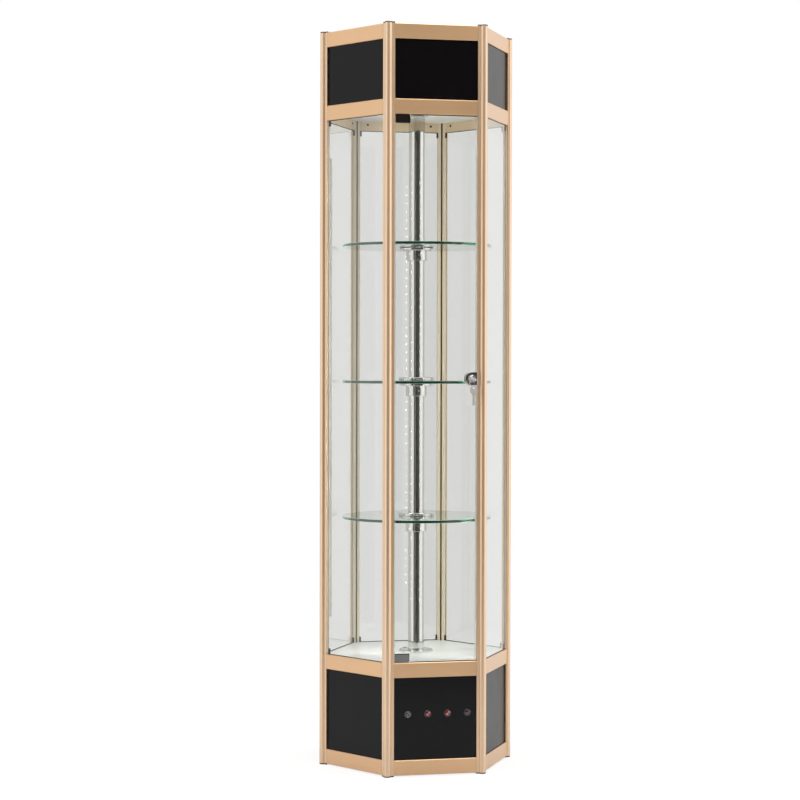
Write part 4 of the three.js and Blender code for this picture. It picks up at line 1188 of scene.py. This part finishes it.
class CABINET_OT_turntable(bpy.types.Operator):
    """Make the pole, the shelves and what clamps them, the drive gear and the bearings"""

    bl_idname = "cabinet.turntable"
    bl_label = "Turntable"

    def execute(self, context):
        f = finishes()
        self.pole()
        for level in LEVELS:
            self.shelf(f, level)
            self.hub(f, level)
            self.ring(f, level)
        self.foot_bearing(f)
        self.top_bearing(f)
        dress("drive_gear", f.nylon, width=0.0003, slot="nylon")
        dress("motor_pinion", f.gear_steel, width=0.0002, slot="steel")
        return {"FINISHED"}

    def pole(self):
        """A thin tube, with a narrower hollow spindle under it and a stub above it."""
        low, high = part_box("pole")
        start = low[2] + 0.150
        end = high[2] - 0.016
        wall = 0.002
        r = high[0]
        spindle = 0.015
        inner_spindle = 0.012
        stub = 0.010
        inner_stub = 0.006
        points = [
            [inner_spindle, low[2]],
            [spindle, low[2]],
            [spindle, start],
            [r, start],
            [r, end],
            [stub, end],
            [stub, high[2]],
            [inner_stub, high[2]],
            [inner_stub, end - 2 * wall],
            [r - wall, end - 2 * wall],
            [r - wall, start + wall],
            [inner_spindle, start + wall],
        ]
        turned_piece("turntable", "pole", "tube", points, 128, 0.0006)

    def shelf(self, f, level):
        """A round glass with ground bevels and a bore for the pole."""
        node = "shelf_glass_" + level
        low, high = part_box(node)
        r = high[0]
        bevel = sizes().arris
        points = [
            [GLASS_BORE, low[2]],
            [r - bevel, low[2]],
            [r, low[2] + bevel],
            [r, high[2] - bevel],
            [r - bevel, high[2]],
            [GLASS_BORE, high[2]],
        ]
        shell = Shell().loft(lathe(points, 240), loop=True, marks=[0, 2, 1, 2, 0, 1])
        looks = (f.shelf, f.edge, f.arris)
        name = node + "_plate"
        shell.piece(name, "turntable", *looks, angle=20, replaces=(node,), slot="shelf_glass")

    def hub(self, f, level):
        """A flanged sleeve below a shelf, with set screws and the flange's screws."""
        node = "shelf_hub_" + level
        low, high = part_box(node)
        bottom = low[2]
        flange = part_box("shelf_glass_" + level)[0][2] - WASHER
        under = flange - 0.006
        sleeve = 0.029
        rim = 0.0465
        neck = 0.0255
        points = [
            [POLE_BORE, bottom],
            [sleeve - 0.001, bottom],
            [sleeve, bottom + 0.001],
            [sleeve, under - 0.0015],
            [sleeve + 0.0015, under],
            [rim, under],
            [rim, flange - 0.0012],
            [rim - 0.001, flange],
            [neck, flange],
            [neck, high[2]],
            [POLE_BORE, high[2]],
        ]
        turned_piece("turntable", node, "casting", points)
        screws = Shell()
        for angle in (270.0, 90.0):
            out = turn_axes(angle)[0]
            place = out * (sleeve + 0.0002) + UP * (bottom + 0.0145)
            screws.loft(aimed(socket_rings(0.0027, 0.005), place, out))
        screws.piece("set_screws_" + level, "turntable", f.zinc)
        turns = np.arange(6) * 60.0 + 30.0
        centres = [turn_axes(turn)[0] * SCREW_CIRCLE + UP * (under - 0.0001) for turn in turns]
        pan_heads("hub_screws_" + level, "turntable", f.zinc, 0.0032, 0.0016, centres, -UP)

    def ring(self, f, level):
        """A grooved ring that clamps a shelf from above, on a rubber washer."""
        node = "clamp_ring_" + level
        low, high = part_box(node)
        z0 = low[2]
        z1 = high[2]
        r = high[0]
        points = [
            [GLASS_BORE, z0],
            [r, z0],
            [r, z0 + 0.0022],
            [r - 0.0006, z0 + 0.0027],
            [r, z0 + 0.0032],
            [r, z1 - 0.002],
            [r - 0.002, z1],
            [GLASS_BORE, z1],
        ]
        turned_piece("turntable", node, "collar", points, 96, 0.0003)
        below = z0 - WASHER
        washer = [[0.0262, below], [0.0480, below], [0.0480, z0], [0.0262, z0]]
        shell = Shell().loft(lathe(washer, 64), loop=True)
        shell.piece("glass_washer_" + level, "turntable", f.rubber)

    def foot_bearing(self, f):
        """A flanged housing in the deck, whose bore narrows from the tube to its spindle."""
        low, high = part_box("foot_bearing")
        top = high[2]
        flange = top - 0.007
        seat = top - 0.020
        r = high[0]
        body = 0.032
        spindle = 0.0153
        points = [
            [spindle, low[2]],
            [body, low[2]],
            [body, flange],
            [r, flange],
            [r, top - 0.0030],
            [r - 0.0030, top - 0.0006],
            [0.0300, top - 0.0003],
            [0.0285, top],
            [POLE_BORE, top],
            [POLE_BORE, seat],
            [spindle, seat],
        ]
        turned_piece("cabinet", "foot_bearing", "flange", points)
        self.bearing_screws(f, "foot_bearing", 0.0040, 0.0018, SCREW_CIRCLE, top - 0.0008, UP)

    def top_bearing(self, f):
        """A flange under the ceiling, with a boss above it."""
        low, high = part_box("top_bearing")
        bottom = low[2]
        flange = bottom + 0.006
        r = high[0]
        boss = 0.020
        bore = 0.0103
        points = [
            [bore, bottom],
            [r - 0.0015, bottom],
            [r, bottom + 0.0015],
            [r, flange],
            [boss, flange],
            [boss, high[2]],
            [bore, high[2]],
        ]
        turned_piece("cabinet", "top_bearing", "flange", points)
        self.bearing_screws(f, "top_bearing", 0.0036, 0.0016, 0.0270, bottom, -UP)

    def bearing_screws(self, f, node, radius, height, reach, z, axis):
        centres = [turn_axes(turn)[0] * reach + UP * z for turn in (45.0, 135.0, 225.0, 315.0)]
        pan_heads(node + "_screws", "cabinet", f.zinc, radius, height, centres, axis)


def outline_d(left, right, bottom, top):
    """A block with a half-round left end: an arc down from its upper edge, then the corners."""
    r = (top - bottom) / 2
    turn = arc((left + r, (top + bottom) / 2), r, 90.0, 270.0, 20)
    return np.concatenate([turn, [[right, bottom], [right, top]]])


def plug_axis():
    """Where the lock's plug crosses the line of post centres, from the middle of the side."""
    low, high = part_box("lock_case")
    return np.array([high[0] - 0.014, 0.0, (low[2] + high[2]) / 2])


class CABINET_OT_door(bpy.types.Operator):
    """Finish the door's glass and make its two clamps and the lock's case"""

    bl_idname = "cabinet.door"
    bl_label = "Door"

    def execute(self, context):
        f = finishes()
        looks = (f.glass, f.arris, f.arris)
        dress("door_glass", *looks, width=0.0006, pick=pane_pick("front"), slot="clear_glass")
        middle = pane_middle()
        self.clamp(f, "top", f.bronze, "dark_bronze", middle)
        self.clamp(f, "bottom", f.steel, "satin_steel", middle)
        self.lock(f, middle)
        return {"FINISHED"}

    def clamp(self, f, place, look, slot, middle):
        """Two leaves with a bridge between them, two screws, and a pivot pin in the rail."""
        node = "door_clamp_" + place
        low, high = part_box(node)
        x0 = low[0]
        x1 = high[0]
        up = 1 if place == "top" else -1
        pin_out = 0.0076
        outer = high[2] - pin_out if up > 0 else low[2] + pin_out
        inner = outer - up * 0.021
        rim = outer - up * 0.0031
        pad = 0.0025
        z0, z1 = sorted((outer, inner))
        leaves = Shell()
        for near, far in ((-LEAF, -GRIP), (GRIP, LEAF)):
            leaf = block([x0, z0, middle + near], [x1, z1, middle + far], 0.0009, 0.0006)
            leaves.loft(on_front(leaf))
        start, end = sorted((rim, outer))
        first = [x0 + 0.0003, start, middle - 0.0050]
        last = [x1 - 0.0003, end - 0.0001, middle + 0.0050]
        leaves.loft(on_front(block(first, last, 0.0004, 0.0003)))
        leaves.piece(node + "_leaves", "door", look, replaces=(node,), slot=slot)
        start, end = sorted((outer - up * 0.0006, outer + up * 0.0073))
        pin = bar(circle(0.004, 32), start, end, 0.0005) + np.array([x0 + 0.016, middle, 0.0])
        Shell().loft(on_side(pin, "front")).piece(node + "_pin", "door", f.steel)
        height = (z0 + z1) / 2 - up * 0.0015
        centres = [(x, middle + LEAF, height) for x in (x0 + 0.0095, x1 - 0.0095)]
        pan_heads(node + "_screws", "door", f.zinc, 0.0030, 0.0012, centres, (0, 1, 0), "front")
        pads = Shell()
        start, end = sorted((rim, inner - up * 0.0018))
        for near, far in ((-GRIP, -pad), (pad, GRIP)):
            first = [x0 + 0.0006, start, middle + near]
            last = [x1 + 0.0018, end, middle + far]
            pads.loft(on_front(block(first, last, 0.0001, 0.0001)))
        pads.piece(node + "_pads", "door", f.rubber)

    def lock(self, f, middle):
        """Two halves that grip the edge of the glass, with a raised rim round the plug."""
        low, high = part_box("lock_case")
        outline = outline_d(low[0], high[0], low[2], high[2])
        shell = Shell()
        for near, far, edge in ((-GRIP, -LOCK_FRONT, 0.0012), (GRIP, LEAF, 0.0009)):
            shell.loft(on_front(bar(outline, middle + near, middle + far, edge, 4)))
        grip = GRIP + 0.001
        first = [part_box("door_glass")[1][0] + 0.0003, low[2] + 0.0006, middle - grip]
        last = [high[0] - 0.0003, high[2] - 0.0006, middle + grip]
        shell.loft(on_front(block(first, last, 0.0003)))
        shell.piece("lock_case_halves", "door", f.nickel, replaces=("lock_case",), slot="nickel")
        axis = plug_axis()
        rim = [[0.0088, -0.001], [0.0118, -0.001], [0.0114, 0.0009], [0.0092, 0.0009]]
        rings = lathe(eased(rim, 0.0003), 64)
        centre = (axis[0], middle - LOCK_FRONT, axis[2])
        Shell().loft(facing_out(rings, centre), loop=True).piece("lock_rim", "door", f.chrome)
        places = ((0.0070, 0.0), (0.0150, 0.0115), (0.0150, -0.0115))
        centres = [(low[0] + x, middle + LEAF, axis[2] + z) for x, z in places]
        pan_heads("lock_screws", "door", f.zinc, 0.0024, 0.0011, centres, (0, 1, 0), "front")


def washer_bow(width, height, drop):
    """A key's bow: rings from a round hole out to an oval, (1-k) hole + k oval, in a loop."""
    ring = circle(1.0, 64)
    outer = ring * np.array([width / 2, height / 2])
    inner = ring * KEY_HOLE / 2 + np.array([0.0, drop])
    rows = [(0.0, -0.8), (0.06, -1.0), (0.90, -1.0), (1.0, -0.55)]
    rows += [(k, -share) for k, share in reversed(rows)]
    return stacked([(inner * (1 - k) + outer * k, KEY_HALF * share) for k, share in rows])


def blade_outline(width, reach, cuts):
    """A key's blade pointing down: a straight back and a front edge with cuts of some depths."""
    x = width / 2
    places = np.linspace(0.18, 0.86, len(cuts))
    step = 0.5 * (places[1] - places[0])
    edge = [[x, 0.0]]
    for place, depth in zip(places, cuts):
        edge.append([x, -reach * (place - step * 0.9)])
        edge.append([x - depth, -reach * (place - step * 0.25)])
        edge.append([x - depth, -reach * (place + step * 0.25)])
    edge += [[x, -reach * 0.93], [x * 0.35, -reach], [-x * 0.6, -reach]]
    edge += [[-x, -reach * 0.95], [-x, 0.0]]
    return np.array(edge)[::-1]


class CABINET_OT_keys(bpy.types.Operator):
    """Make the lock's plug with its key and cam, and the spare key on its ring"""

    bl_idname = "cabinet.keys"
    bl_label = "Keys"

    def execute(self, context):
        f = finishes()
        axis = plug_axis()
        head = pane_middle() - LOCK_FRONT - 0.0018
        self.plug(f, axis + np.array([0.0, head, 0.0]))
        self.cam(f, axis)
        self.spare(f, axis + np.array([0.0, head - KEY_NECK - BOW - HOLE_DROP, 0.0]))
        return {"FINISHED"}

    def plug(self, f, centre):
        """The plug's face and barrel, and a key that stands in it at 45 degrees."""
        back = -0.0015
        face = [[0.0002, 0.0], [0.0075, 0.0], [0.0085, -0.0008], [0.0085, back], [0.0002, back]]
        shell = Shell().loft(facing_out(lathe(eased(face, 0.0003), 64), centre), loop=True)
        shell.loft(facing_out(bar(circle(0.0075, 48), -0.0014, -0.0085, 0.0003), centre))
        shell.piece("lock_plug", "lock", f.chrome, replaces=("lock_key",), slot="nickel")
        tilt = math.radians(45)
        across = np.array([math.cos(tilt), 0.0, -math.sin(tilt)])
        out = np.array([0.0, -1.0, 0.0])
        axes = (across, out, np.cross(across, out))
        reach = KEY_NECK + BOW
        origin = centre + out * reach
        bow = washer_bow(2 * BOW, 2 * BOW, HOLE_DROP)
        neck = bar(rounded_box_outline(0.008, reach, 0.0003), -KEY_HALF, KEY_HALF, 0.0003)
        neck[..., 1] -= reach / 2
        rib = bar(rounded_box_outline(0.0022, BOW * 0.9, 0.0005), -0.0012, 0.0012, 0.0002)
        rib[..., 1] -= BOW * 0.72
        key = Shell().loft(on_side(laid(bow, origin, *axes), "front"), loop=True)
        for rings in (neck, rib):
            key.loft(on_side(laid(rings, origin, *axes), "front"))
        key.piece("lock_key_in_plug", "lock", f.key, replaces=("lock_key",), slot="key_steel")

    def cam(self, f, axis):
        """A flat tongue that points down, held by a nut on the plug's rod."""
        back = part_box("lock_key")[1][1] + apothem()
        round_end = arc((0.0, 0.0), 0.004, 0.0, 180.0, 14)
        tongue = np.concatenate([round_end, [[-0.004, -0.0186], [0.004, -0.0186]]])
        parts = (
            bar(eased(tongue, 0.0004, 2), back - 0.002, back, 0.0003),
            bar(circle(0.0052, 6), back - 0.0052, back - 0.0022, 0.0004),
            bar(circle(0.0036, 32), -0.007, back - 0.0002, 0.0002),
        )
        shell = Shell()
        for rings in parts:
            shell.loft(on_front(rings + axis[[0, 2, 1]]))
        shell.piece("lock_cam", "lock", f.steel, replaces=("lock_key",))

    def spare(self, f, hang):
        """A ring through the hole of the key in the plug, and the second key that hangs on it."""
        radius = 0.011
        loop = circle(radius, 72)
        path = hang + np.column_stack([loop[:, 1], np.zeros(72), loop[:, 0] - radius])
        ring = Shell()
        ring.loft(on_side(tube(path, 0.0009, 12, True, (0.0, 1.0, 0.0)), "front"), loop=True)
        ring.piece("key_ring", "hanging_key", f.chrome, replaces=("spare_key",), slot="key_steel")
        right, thick = turn_axes(-20.0)
        top = KEY_MARGIN - 2 * radius
        height = 0.025
        hole = height / 2 - KEY_MARGIN - KEY_HOLE / 2 + KEY_HALF

        def placed(rings, rise):
            return on_side(laid(rings, hang + UP * (top + rise), right, UP, thick), "front")

        blade = blade_outline(0.007, 0.031, (0.0012, 0.0020, 0.0008, 0.0016, 0.0011))
        groove = bar(rounded_box_outline(0.0012, 0.022, 0.0004), -0.00105, 0.00105, 0.0002)
        key = Shell().loft(placed(washer_bow(0.020, height, hole), -height / 2), loop=True)
        key.loft(placed(bar(blade, -KEY_HALF, KEY_HALF, 0.0002), 0.004 - height))
        key.loft(placed(groove, -height - 0.012))
        name = "spare_key_blank"
        key.piece(name, "hanging_key", f.key, replaces=("spare_key",), slot="key_steel")


def retained(radius, depth):
    """Profile points behind the panel: a barrel's end, then a round nut on a stem."""
    near = -depth - 0.0003
    far = -depth - 0.0033
    nut = 0.009
    return [[radius, near], [nut, near], [nut, far], [STEM, far]]


class CABINET_OT_controls(bpy.types.Operator):
    """Make the key switch, the push buttons and their bezels on the front base panel"""

    bl_idname = "cabinet.controls"
    bl_label = "Controls"

    def execute(self, context):
        f = finishes()
        buttons = (
            ("light_button_left", "left_button", f.red, "red_lens"),
            ("light_button_right", "right_button", f.orange, "red_lens"),
            ("motor_button", "drive_button", f.plum, "plum_lens"),
        )
        low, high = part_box("base_panel_front")
        front = low[1] + apothem()
        depth = high[1] - low[1]
        for node, body, look, slot in buttons:
            origin = self.bezel(f, node, front)
            self.button(node, body, look, slot, origin, depth)
        self.switch(f, self.bezel(f, "key_switch", front), depth)
        return {"FINISHED"}

    def bezel(self, f, node, front):
        """A low turned ring on the panel round a control, whose middle it gives back."""
        low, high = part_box(node)
        origin = np.array([(low[0] + high[0]) / 2, front, (low[2] + high[2]) / 2])
        bore = 0.00735
        foot = -0.0002
        crest = [[0.0094, 0.0010], [0.0084, 0.0016]]
        ring = eased([[bore, foot], [0.0098, foot], *crest, [bore, 0.0012]], 0.0003)
        shell = Shell().loft(facing_out(lathe(ring, 64), origin), loop=True)
        shell.piece(node + "_bezel", "cabinet", f.bezel)
        return origin

    def button(self, node, body, look, slot, origin, depth):
        """A domed cap: r = R sin a, height = rise + dome cos a, then barrel, retainer and stem."""
        a = np.linspace(0.02, np.pi / 2, 12)
        radius = 0.007
        dome = 0.0012
        rise = 0.0035 - dome
        cap = np.stack([radius * np.sin(a), rise + dome * np.cos(a)], -1)
        tail = [[STEM, -depth - 0.0168], [0.0035, -depth - 0.0173]]
        rings = lathe(np.concatenate([cap, retained(radius, depth), tail]), 48)
        across = rings / radius * np.array([1.0, 1.0, 0.0])
        shell = Shell().loft(facing_out(rings, origin), across=across)
        shell.piece(node + "_cap", body, look, replaces=(node,), slot=slot)

    def switch(self, f, origin, depth):
        """A turned barrel with a slotted face, whose slot is a pocket of its own rings."""
        radius = 0.007
        bore = 0.0005
        end = -depth - 0.0173
        rim = [[0.0052, 0.0018], [0.0062, 0.0030], [radius, 0.0026]]
        profile = [*rim, *retained(radius, depth), [STEM, end], [bore, end], [bore, 0.0002]]
        barrel = Shell().loft(facing_out(lathe(eased(profile, 0.0003), 64), origin), loop=True)
        name = "key_switch"
        barrel.piece(name + "_barrel", "switch", f.steel, replaces=(name,), slot="chrome")
        steps = 48
        turn = math.radians(45)
        disc = circle(0.0056, steps, turn)
        mouth = polar(slot_reach(0.0042, 0.0009, steps), steps, turn)
        top = 0.0022
        rows = (
            (disc, 0.0006),
            (disc, top - 0.0003),
            (circle(0.0052, steps, turn), top),
            (mouth, top),
            (mouth, 0.0010),
        )
        face = Shell().loft(facing_out(stacked(rows), origin), marks=[0, 0, 0, 1], cap_mark=1)
        face.piece(name + "_face", "switch", f.plastic, f.nickel)


class CABINET_OT_lights(bpy.types.Operator):
    """Make the light strips: channel, tape, diodes and end clips"""

    bl_idname = "cabinet.lights"
    bl_label = "Light strips"

    def execute(self, context):
        s = sizes()
        f = finishes()
        back = -s.nose_reach - s.seam
        half = 0.004
        lips = back - 0.008
        wall = 0.0012
        section = [
            [back, -half],
            [back, half],
            [lips, half],
            [lips, half - wall],
            [back - wall, half - wall],
            [back - wall, wall - half],
            [lips, wall - half],
            [lips, -half],
        ]
        face = back - wall - 0.0004
        for name in STRIPS:
            node = "light_strip_" + name
            low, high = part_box(node)
            z0 = low[2]
            z1 = high[2]
            rings = bar(eased(section, 0.0002, 2), z0, z1, 0.0002, 2)
            channel = Shell().loft(on_post(rings, name))
            slot = "strip_aluminium"
            channel.piece(node + "_channel", "cabinet", f.white, replaces=(node,), slot=slot)
            first = [face, wall - half + 0.0002, z0 + 0.002]
            last = [back - wall, half - wall - 0.0002, z1 - 0.002]
            tape = Shell().loft(on_post(block(first, last, 0.0001, 0.0001), name))
            tape.piece(node + "_tape", "cabinet", f.tape)
            self.diodes(f, node, name, face, z0, z1)
            clips = Shell()
            for z in (z0 + 0.03, (z0 + z1) / 2, z1 - 0.03):
                clips.loft(on_post(self.clip(back, lips, half, z), name))
            clips.piece(node + "_clips", "cabinet", f.white)
        return {"FINISHED"}

    def clip(self, back, lips, half, z):
        """A thin C round the channel."""
        gap = 0.0001
        wall = 0.0006
        section = [
            [back - gap, half + gap],
            [back - gap, half + wall],
            [lips - wall, half + wall],
            [lips - wall, half - 0.0016],
            [lips - gap, half - 0.0016],
            [lips - gap, half + gap],
        ]
        return bar(np.array(section), z, z + 0.006, 0.0001, 2)

    def diodes(self, f, node, name, face, z0, z1):
        """One diode at each pitch: a square body and a domed lens."""
        pitch = sizes().led_pitch
        count = int((z1 - z0 - 0.01) / pitch)
        start = (z0 + z1) / 2 - (count - 1) * pitch / 2
        bodies = Shell()
        lenses = Shell()
        body = bar(rounded_box_outline(0.0046, 0.0046, 0.0005, 2), 0.0, 0.0012, 0.0001, 2)
        a = np.linspace(0.0, np.pi / 2, 4)
        dome = lathe(np.stack([0.0022 * np.cos(a) + 0.00005, 0.0011 + 0.0008 * np.sin(a)], -1), 10)
        for index in range(count):
            centre = (face, 0.0, start + index * pitch)
            bodies.loft(on_post(aimed(body, centre, (-1, 0, 0)), name))
            lenses.loft(on_post(aimed(dome, centre, (-1, 0, 0)), name))
        bodies.piece(node + "_diode_bodies", "cabinet", f.white)
        lenses.piece(node + "_diodes", "cabinet", f.diode)


class CABINET_OT_drive(bpy.types.Operator):
    """Finish the motor, the power supply and the inlet, and add their fittings and wires"""

    bl_idname = "cabinet.drive"
    bl_label = "Drive and power"

    def execute(self, context):
        f = finishes()
        dress("motor_body", f.motor, width=0.0008, slot="motor_paint")
        dress("power_supply", f.plastic, width=0.0008, slot="black_plastic")
        dress("power_inlet", f.plastic, width=0.0003, slot="black_plastic")
        self.motor(f)
        self.supply(f)
        self.inlet(f)
        self.wires(f)
        return {"FINISHED"}

    def motor(self, f):
        """Screws in the foot and the gearbox, and rings round the motor."""
        low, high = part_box("motor_body")
        y = (low[1] + high[1]) / 2
        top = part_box("motor_pinion")[0][2] - 0.002
        heads = Shell()
        for x in (low[0] + 0.006, high[0] - 0.006):
            for dy in (-0.030, 0.030):
                heads.loft(aimed(screw_rings(0.0045, 0.0022), (x, y + dy, low[2] + 0.004), UP))
        for dx, dy in ((-0.034, -0.034), (0.034, -0.034), (0.034, 0.034), (-0.034, 0.034)):
            heads.loft(aimed(screw_rings(0.0038, 0.0020), (dx, y + dy, top), UP))
        heads.piece("motor_screws", "cabinet", f.zinc)
        rings = Shell()
        for z in np.linspace(low[2] + 0.010, top - 0.040, 5):
            band = [[0.0306, z], [0.0325, z], [0.0325, z + 0.0022], [0.0306, z + 0.0022]]
            rings.loft(lathe(eased(band, 0.0004), 64) + np.array([0.0, y, 0.0]), loop=True)
        rings.piece("motor_cooling_rings", "cabinet", f.motor)

    def supply(self, f):
        """Louvres on the lid and two screws in the feet."""
        low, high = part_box("power_supply")
        y = (low[1] + high[1]) / 2
        louvres = Shell()
        half = np.array([0.0016, 0.018, 0.0004])
        for x in np.linspace(-0.055, 0.055, 12):
            centre = np.array([x, y, high[2]])
            louvres.loft(block(centre - half, centre + half, 0.0006, 0.0002))
        louvres.piece("power_supply_louvres", "cabinet", f.steel)
        centres = [(x, y, low[2] + 0.003) for x in (low[0] + 0.005, high[0] - 0.005)]
        pan_heads("power_supply_screws", "cabinet", f.zinc, 0.0040, 0.0020, centres, UP)

    def inlet(self, f):
        """Two screws beside the well and three pins in it."""
        low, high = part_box("power_inlet")
        x = (low[0] + high[0]) / 2
        z = (low[2] + high[2]) / 2
        centres = [(x + dx, high[1], z) for dx in (-0.0205, 0.0205)]
        pan_heads("power_inlet_screws", "cabinet", f.zinc, 0.0026, 0.0012, centres, (0, 1, 0))
        pins = Shell()
        half = np.array([0.00115, 0.0074, 0.00215])
        for dx in (-0.007, 0.0, 0.007):
            centre = np.array([x + dx, high[1] - 0.0096, z])
            pins.loft(block(centre - half, centre + half, 0.0004))
        pins.piece("power_inlet_pins", "cabinet", f.brass)

    def wires(self, f):
        """Two cores from the inlet to the supply, and two from the supply to the motor."""
        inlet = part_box("power_inlet")
        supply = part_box("power_supply")
        x = (inlet[0][0] + inlet[1][0]) / 2
        y = inlet[0][1]
        z = (inlet[0][2] + inlet[1][2]) / 2
        left = supply[0][0]
        front = supply[0][1]
        deck = 0.034
        for core, look, shift in (("red", f.red_wire, 0.0), ("blue", f.blue_wire, 0.004)):
            mains = [
                [x + shift, y + 0.002, z],
                [x + shift, y - 0.016, z - 0.004],
                [x - 0.050 + shift, y - 0.050, deck + 0.03],
                [-0.120 + shift, y - 0.110, deck],
                [-0.125 + shift, 0.0, deck],
                [-0.112 + shift, -0.085, deck + 0.004],
                [left - 0.008, front + 0.024 + shift, 0.052],
                [left + 0.014, front + 0.028 + shift, 0.052],
            ]
            motor = [
                [0.074, front + 0.024 + shift, 0.052],
                [0.094, front + 0.026 + shift, 0.048],
                [0.118 + shift, -0.080, deck],
                [0.118 + shift, 0.030, deck],
                [0.090, 0.080 + shift, deck + 0.006],
                [0.052, 0.090 + shift, 0.052],
                [0.029, 0.090 + shift, 0.056],
            ]
            for name, points, radius in (("mains", mains, 0.0015), ("motor", motor, 0.0012)):
                wire = Shell().loft(tube(smooth_path(points), radius))
                wire.piece(f"{name}_wire_{core}", "cabinet", look)


class CABINET_OT_stage(bpy.types.Operator):
    """Make the floor, the soft light and the camera"""

    bl_idname = "cabinet.stage"
    bl_label = "Studio"

    def execute(self, context):
        scene = context.scene
        scene.view_settings.view_transform = "Standard"
        self.floor(scene)
        self.world(scene)
        self.lamp(scene)
        self.camera(scene)
        return {"FINISHED"}

    def floor(self, scene):
        """A round plain sheet that shows white to the camera where nothing shades it."""
        steps = 96
        radius = 2.2
        level = -0.0005
        points = np.column_stack([circle(radius, steps), np.full(steps, level)])
        mesh = bpy.data.meshes.new("studio_floor")
        mesh.from_pydata(points.tolist(), [], [list(range(steps))])
        floor = bpy.data.objects.new("studio_floor", mesh)
        scene.collection.objects.link(floor)
        base = scene.cabinet_studio.floor
        finish = Finish("studio_floor", roughness=0.9, specular_ior_level=0.1)
        finish.drive("Base Color", finish.shades(base, finish.noise(3.0), 0.99, 1.0))
        glow = finish.node("Emission", None, {"Color": (1.0, 1.0, 1.0), "Strength": 1.09})
        finish.show(finish.straight() * 0.75, finish.skin, glow)
        mesh.materials.append(finish.material)

    def world(self, scene):
        """Bright all round, brightest at both sides, with a low dark band about the camera.

        Each part is a smooth step of the cosine between a ray and one direction, and the band
        fades as a ray rises or dips.
        """
        world = bpy.data.worlds.new("studio")
        scene.world = world
        world.use_nodes = True
        sky = Nodes(world.node_tree, "World Output")
        sky.tree.nodes.remove(sky.tree.nodes["Background"])
        where = sky.node("TexCoord")
        rise = sky.node("SeparateXYZ", None, {"Vector": where}, "Z")
        band = sky.clamp(rise * rise, 0.05, 0.14, 1.0, 0.0, "SMOOTHSTEP")
        camera = math.degrees(scene.cabinet_studio.azimuth) + 90.0
        level = 0.83
        parts = (
            (8.0 - camera, 0.64, 0.80, band * -0.79),
            (43.0, 0.60, 0.95, 0.14),
            (-30.0, 0.80, 0.98, 0.75),
            (-167.0, 0.88, 0.98, 0.60),
        )
        for turn, low, high, amount in parts:
            near = sky.measure("DOT_PRODUCT", where, tuple(turn_axes(turn)[0]))
            level = level + sky.clamp(near, low, high, way="SMOOTHSTEP") * amount
        light = sky.node("Background", None, {"Color": (1.0, 0.995, 0.985), "Strength": level})
        seen = sky.node("Background", None, {"Color": (1.0, 1.0, 1.0)})
        sky.show(sky.straight(), light, seen)

    def lamp(self, scene):
        """A large soft sheet of light from above."""
        data = bpy.data.lights.new("softbox_top", "AREA")
        data.shape = "SQUARE"
        data.size = 3.4
        data.energy = 112.0
        lamp = bpy.data.objects.new("softbox_top", data)
        place = Vector((0.0, -0.8, 4.2))
        lamp.location = place
        aim = Vector((0.0, 0.0, 0.9)) - place
        lamp.rotation_euler = aim.to_track_quat("-Z", "Y").to_euler()
        scene.collection.objects.link(lamp)

    def camera(self, scene):
        """Turned so that the pole stands some pixels right of the middle, and tipped down."""
        settings = scene.cabinet_studio
        data = bpy.data.cameras.new("camera")
        data.lens = settings.lens
        data.sensor_width = SENSOR
        data.clip_end = 200.0
        camera = bpy.data.objects.new("camera", data)
        scene.collection.objects.link(camera)
        angle = settings.azimuth
        back = Vector((-math.sin(angle), -math.cos(angle), 0.0))
        camera.location = back * settings.distance + Vector((0.0, 0.0, settings.height))
        focal = settings.lens * IMAGE / SENSOR
        yaw = math.atan(POLE_RIGHT / focal)
        pitch = math.atan(LOOKS_DOWN / focal)
        ahead = Vector((math.sin(angle - yaw), math.cos(angle - yaw), -math.tan(pitch)))
        turn = ahead.to_track_quat("-Z", "Y") @ Quaternion((0.0, 0.0, 1.0), settings.roll)
        camera.rotation_euler = turn.to_euler()
        scene.camera = camera


STEPS = (
    CABINET_OT_stage,
    CABINET_OT_posts,
    CABINET_OT_rails,
    CABINET_OT_panels,
    CABINET_OT_panes,
    CABINET_OT_turntable,
    CABINET_OT_door,
    CABINET_OT_keys,
    CABINET_OT_controls,
    CABINET_OT_lights,
    CABINET_OT_drive,
)


class CABINET_PT_panel(bpy.types.Panel):
    """Lists the cabinet's settings and its steps"""

    bl_idname = "CABINET_PT_panel"
    bl_label = "Display cabinet"
    bl_space_type = "VIEW_3D"
    bl_region_type = "UI"
    bl_category = "Cabinet"

    def draw(self, context):
        scene = context.scene
        for group in (scene.cabinet_sizes, scene.cabinet_colours, scene.cabinet_studio):
            box = self.layout.box()
            for key in group.__annotations__:
                box.prop(group, key)
        for step in STEPS:
            self.layout.operator(step.bl_idname)


CLASSES = (CabinetSizes, CabinetColours, StudioSettings, *STEPS, CABINET_PT_panel)


def register():
    for item in CLASSES:
        bpy.utils.register_class(item)
    bpy.types.Scene.cabinet_sizes = bpy.props.PointerProperty(type=CabinetSizes)
    bpy.types.Scene.cabinet_colours = bpy.props.PointerProperty(type=CabinetColours)
    bpy.types.Scene.cabinet_studio = bpy.props.PointerProperty(type=StudioSettings)


def unregister():
    del bpy.types.Scene.cabinet_studio
    del bpy.types.Scene.cabinet_colours
    del bpy.types.Scene.cabinet_sizes
    for item in reversed(CLASSES):
        bpy.utils.unregister_class(item)


def main():
    register()
    for step in STEPS:
        group, name = step.bl_idname.split(".")
        getattr(getattr(bpy.ops, group), name)()


if __name__ == "__main__":
    main()
